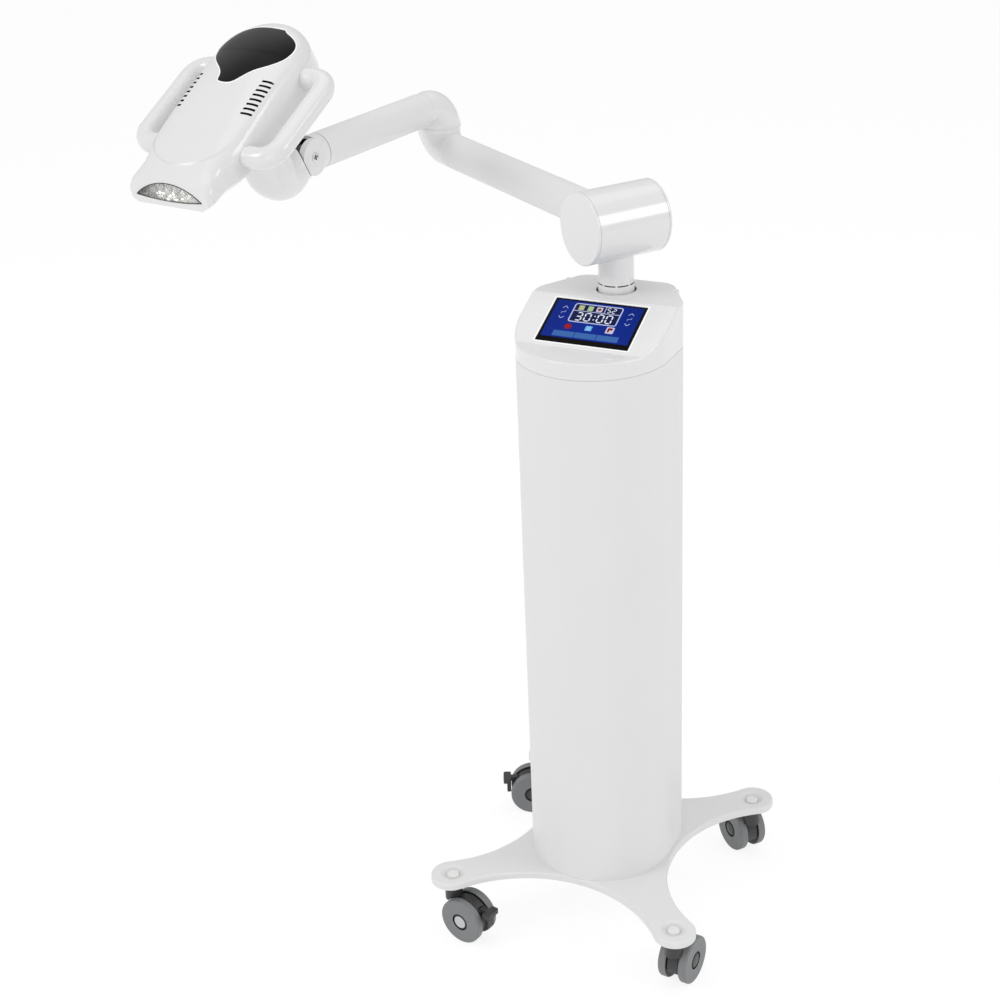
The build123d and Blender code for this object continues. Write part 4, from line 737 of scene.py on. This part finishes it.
def trims():
    head_up = joint_axis("head_swivel")
    # The bead round the panel takes the glowing rim finish, a painted highlight along the panel's
    # edge.
    edge_bead("head_top_panel", head_up, 1.0 * MM, 0.0, "panel_rim", "head", GLOWING_RIM)
    edge_bead("lamp_window", NOSE_OUT, 0.7 * MM, 1.0 * MM, "mouth_rim", "head",
              FINISH["dark_plastic"])
    screw(7.6 * MM, 1.6 * MM, "wrist_screw", "forearm",
          WRIST @ Matrix.Translation((0, 0, 21.9 * MM)))
    back = framed(Vector((0.0, 0.125, LEVEL - 0.845)), Vector((-1, 0, 0)), Vector((0, 1, 0)))
    screw(2.4 * MM, 1.2 * MM, "inlet_screws", "stand", back @ Matrix.Translation((0, 0, 0.3 * MM)),
          ((-27.4 * MM, 0), (27.4 * MM, 0)))
    for name in CASTORS:
        caps = []
        for side in (-1, 1):
            cap = cylinder(10.6 * MM, 1.3 * MM, (0, 0, side * 22.9 * MM))
            soften(cap, 0.5 * MM)
            caps.append(cap)
        # Painted shade: the caps are alike on every castor, but only the front left ones are steel;
        # the others are drawn dark where they sit in shadow.
        slot = "steel" if name == "front_left" else "dark_plastic"
        settle(merge(caps), "hub_caps_" + name, "wheels_" + name, FINISH[slot], WHEELS[name])

    screw(3.2 * MM, 1.4 * MM, "head_screws", "head", HEAD @ Matrix.Translation((77.4 * MM, 0, 0))
          @ Matrix.Rotation(math.radians(90), 4, "Y"), ((28.0 * MM, 68.0 * MM),))
    # Painted shade: dark plates that close the view through the vents, standing for the shadow
    # inside the head.
    for side, name in ((-1, "left"), (1, "right")):
        vent_plate = cube((17.0 * MM, 80.0 * MM, 0.6 * MM))
        settle(vent_plate, "vent_shade_plate_" + name, "head", FINISH["dark_plastic"],
               HEAD @ Matrix.Translation((side * 60.0 * MM, -9.4 * MM, -4.0 * MM))
               @ Matrix.Rotation(side * math.radians(26.0), 4, "Y"))


trims()


# Studio.

CAMERA_PLACE = (0.981513, -2.338275, LEVEL + 0.882222)
CAMERA_RIGHT = (0.904875, 0.423968, -0.038109)
CAMERA_UP = (-0.149900, 0.401157, 0.903661)
CAMERA_LENS = 67.997
FLOOR_HALF = 30.0
FLOOR_GLOW, GLOW_SHARE = 1.07, 0.8
SKY_ON_OBJECT, SKY_SEEN = 0.62, 1.0


def camera():
    right = Vector(CAMERA_RIGHT)
    up = Vector(CAMERA_UP)
    back = right.cross(up)
    turn = Matrix((right, up, back)).transposed().to_4x4()
    bpy.ops.object.camera_add()
    eye = bpy.context.object
    eye.name = "photo_camera"
    eye.matrix_world = Matrix.Translation(CAMERA_PLACE) @ turn
    eye.data.sensor_width = 36.0
    eye.data.lens = CAMERA_LENS
    eye.data.clip_end = 100.0
    bpy.context.scene.camera = eye


def lamp(name, place, target, size, power):
    bpy.ops.object.light_add(type="AREA", location=place)
    light = bpy.context.object
    light.name = name
    light.data.shape = "RECTANGLE"
    light.data.size = size[0]
    light.data.size_y = size[1]
    light.data.energy = power
    light.rotation_euler = (Vector(target) - Vector(place)).to_track_quat("-Z", "Y").to_euler()


def studio():
    bpy.ops.mesh.primitive_plane_add(size=2 * FLOOR_HALF, location=(0, 0, 0))
    floor = bpy.context.object
    floor.name = "studio_floor"
    bpy.ops.object.transform_apply(location=True, rotation=True, scale=True)
    paint = Paint("pale floor", 0.9)
    paint.shader.inputs["Base Color"].default_value = (0.96, 0.96, 0.96, 1.0)
    rays = paint.tree.nodes.new("ShaderNodeLightPath")
    seen = paint.math("MAXIMUM", Wire(paint, rays.outputs["Is Camera Ray"]),
                      Wire(paint, rays.outputs["Is Glossy Ray"]))
    glow = paint.node("ShaderNodeEmission", inputs={
        "Color": (1.0, 1.0, 1.0, 1.0), "Strength": FLOOR_GLOW})
    mixed = paint.node("ShaderNodeMixShader", inputs={
        0: seen * GLOW_SHARE, 1: Wire(paint, paint.shader.outputs[0]), 2: glow})
    paint.tree.links.new(mixed.socket, paint.tree.nodes["Material Output"].inputs["Surface"])
    floor.data.materials.append(paint.material)

    world = bpy.data.worlds.new("studio white")
    bpy.context.scene.world = world
    world.use_nodes = True
    tree = world.node_tree
    rays = tree.nodes.new("ShaderNodeLightPath")
    add = tree.nodes.new("ShaderNodeMath")
    add.operation = "MAXIMUM"
    tree.links.new(rays.outputs["Is Camera Ray"], add.inputs[0])
    tree.links.new(rays.outputs["Is Transmission Ray"], add.inputs[1])
    level = tree.nodes.new("ShaderNodeMapRange")
    level.inputs["To Min"].default_value = SKY_ON_OBJECT
    level.inputs["To Max"].default_value = SKY_SEEN
    tree.links.new(add.outputs[0], level.inputs["Value"])
    sky = tree.nodes["Background"]
    sky.inputs["Color"].default_value = (1.0, 1.0, 1.0, 1.0)
    tree.links.new(level.outputs["Result"], sky.inputs["Strength"])

    lamp("key light", (-2.6, -2.8, 3.6), (0.0, 0.1, 0.7), (1.6, 1.6), 46.0)
    lamp("side light", (2.9, 0.1, 2.55), (0.0, 0.1, 1.1), (1.4, 1.4), 20.0)
    lamp("top light", (-0.3, 0.8, 4.4), (0.0, 0.1, 1.1), (3.6, 3.6), 20.0)
    lamp("front light", (1.5, -3.6, 0.9), (0.0, 0.0, 0.7), (2.6, 2.6), 17.0)
    bpy.context.scene.view_settings.view_transform = "Standard"


camera()
studio()
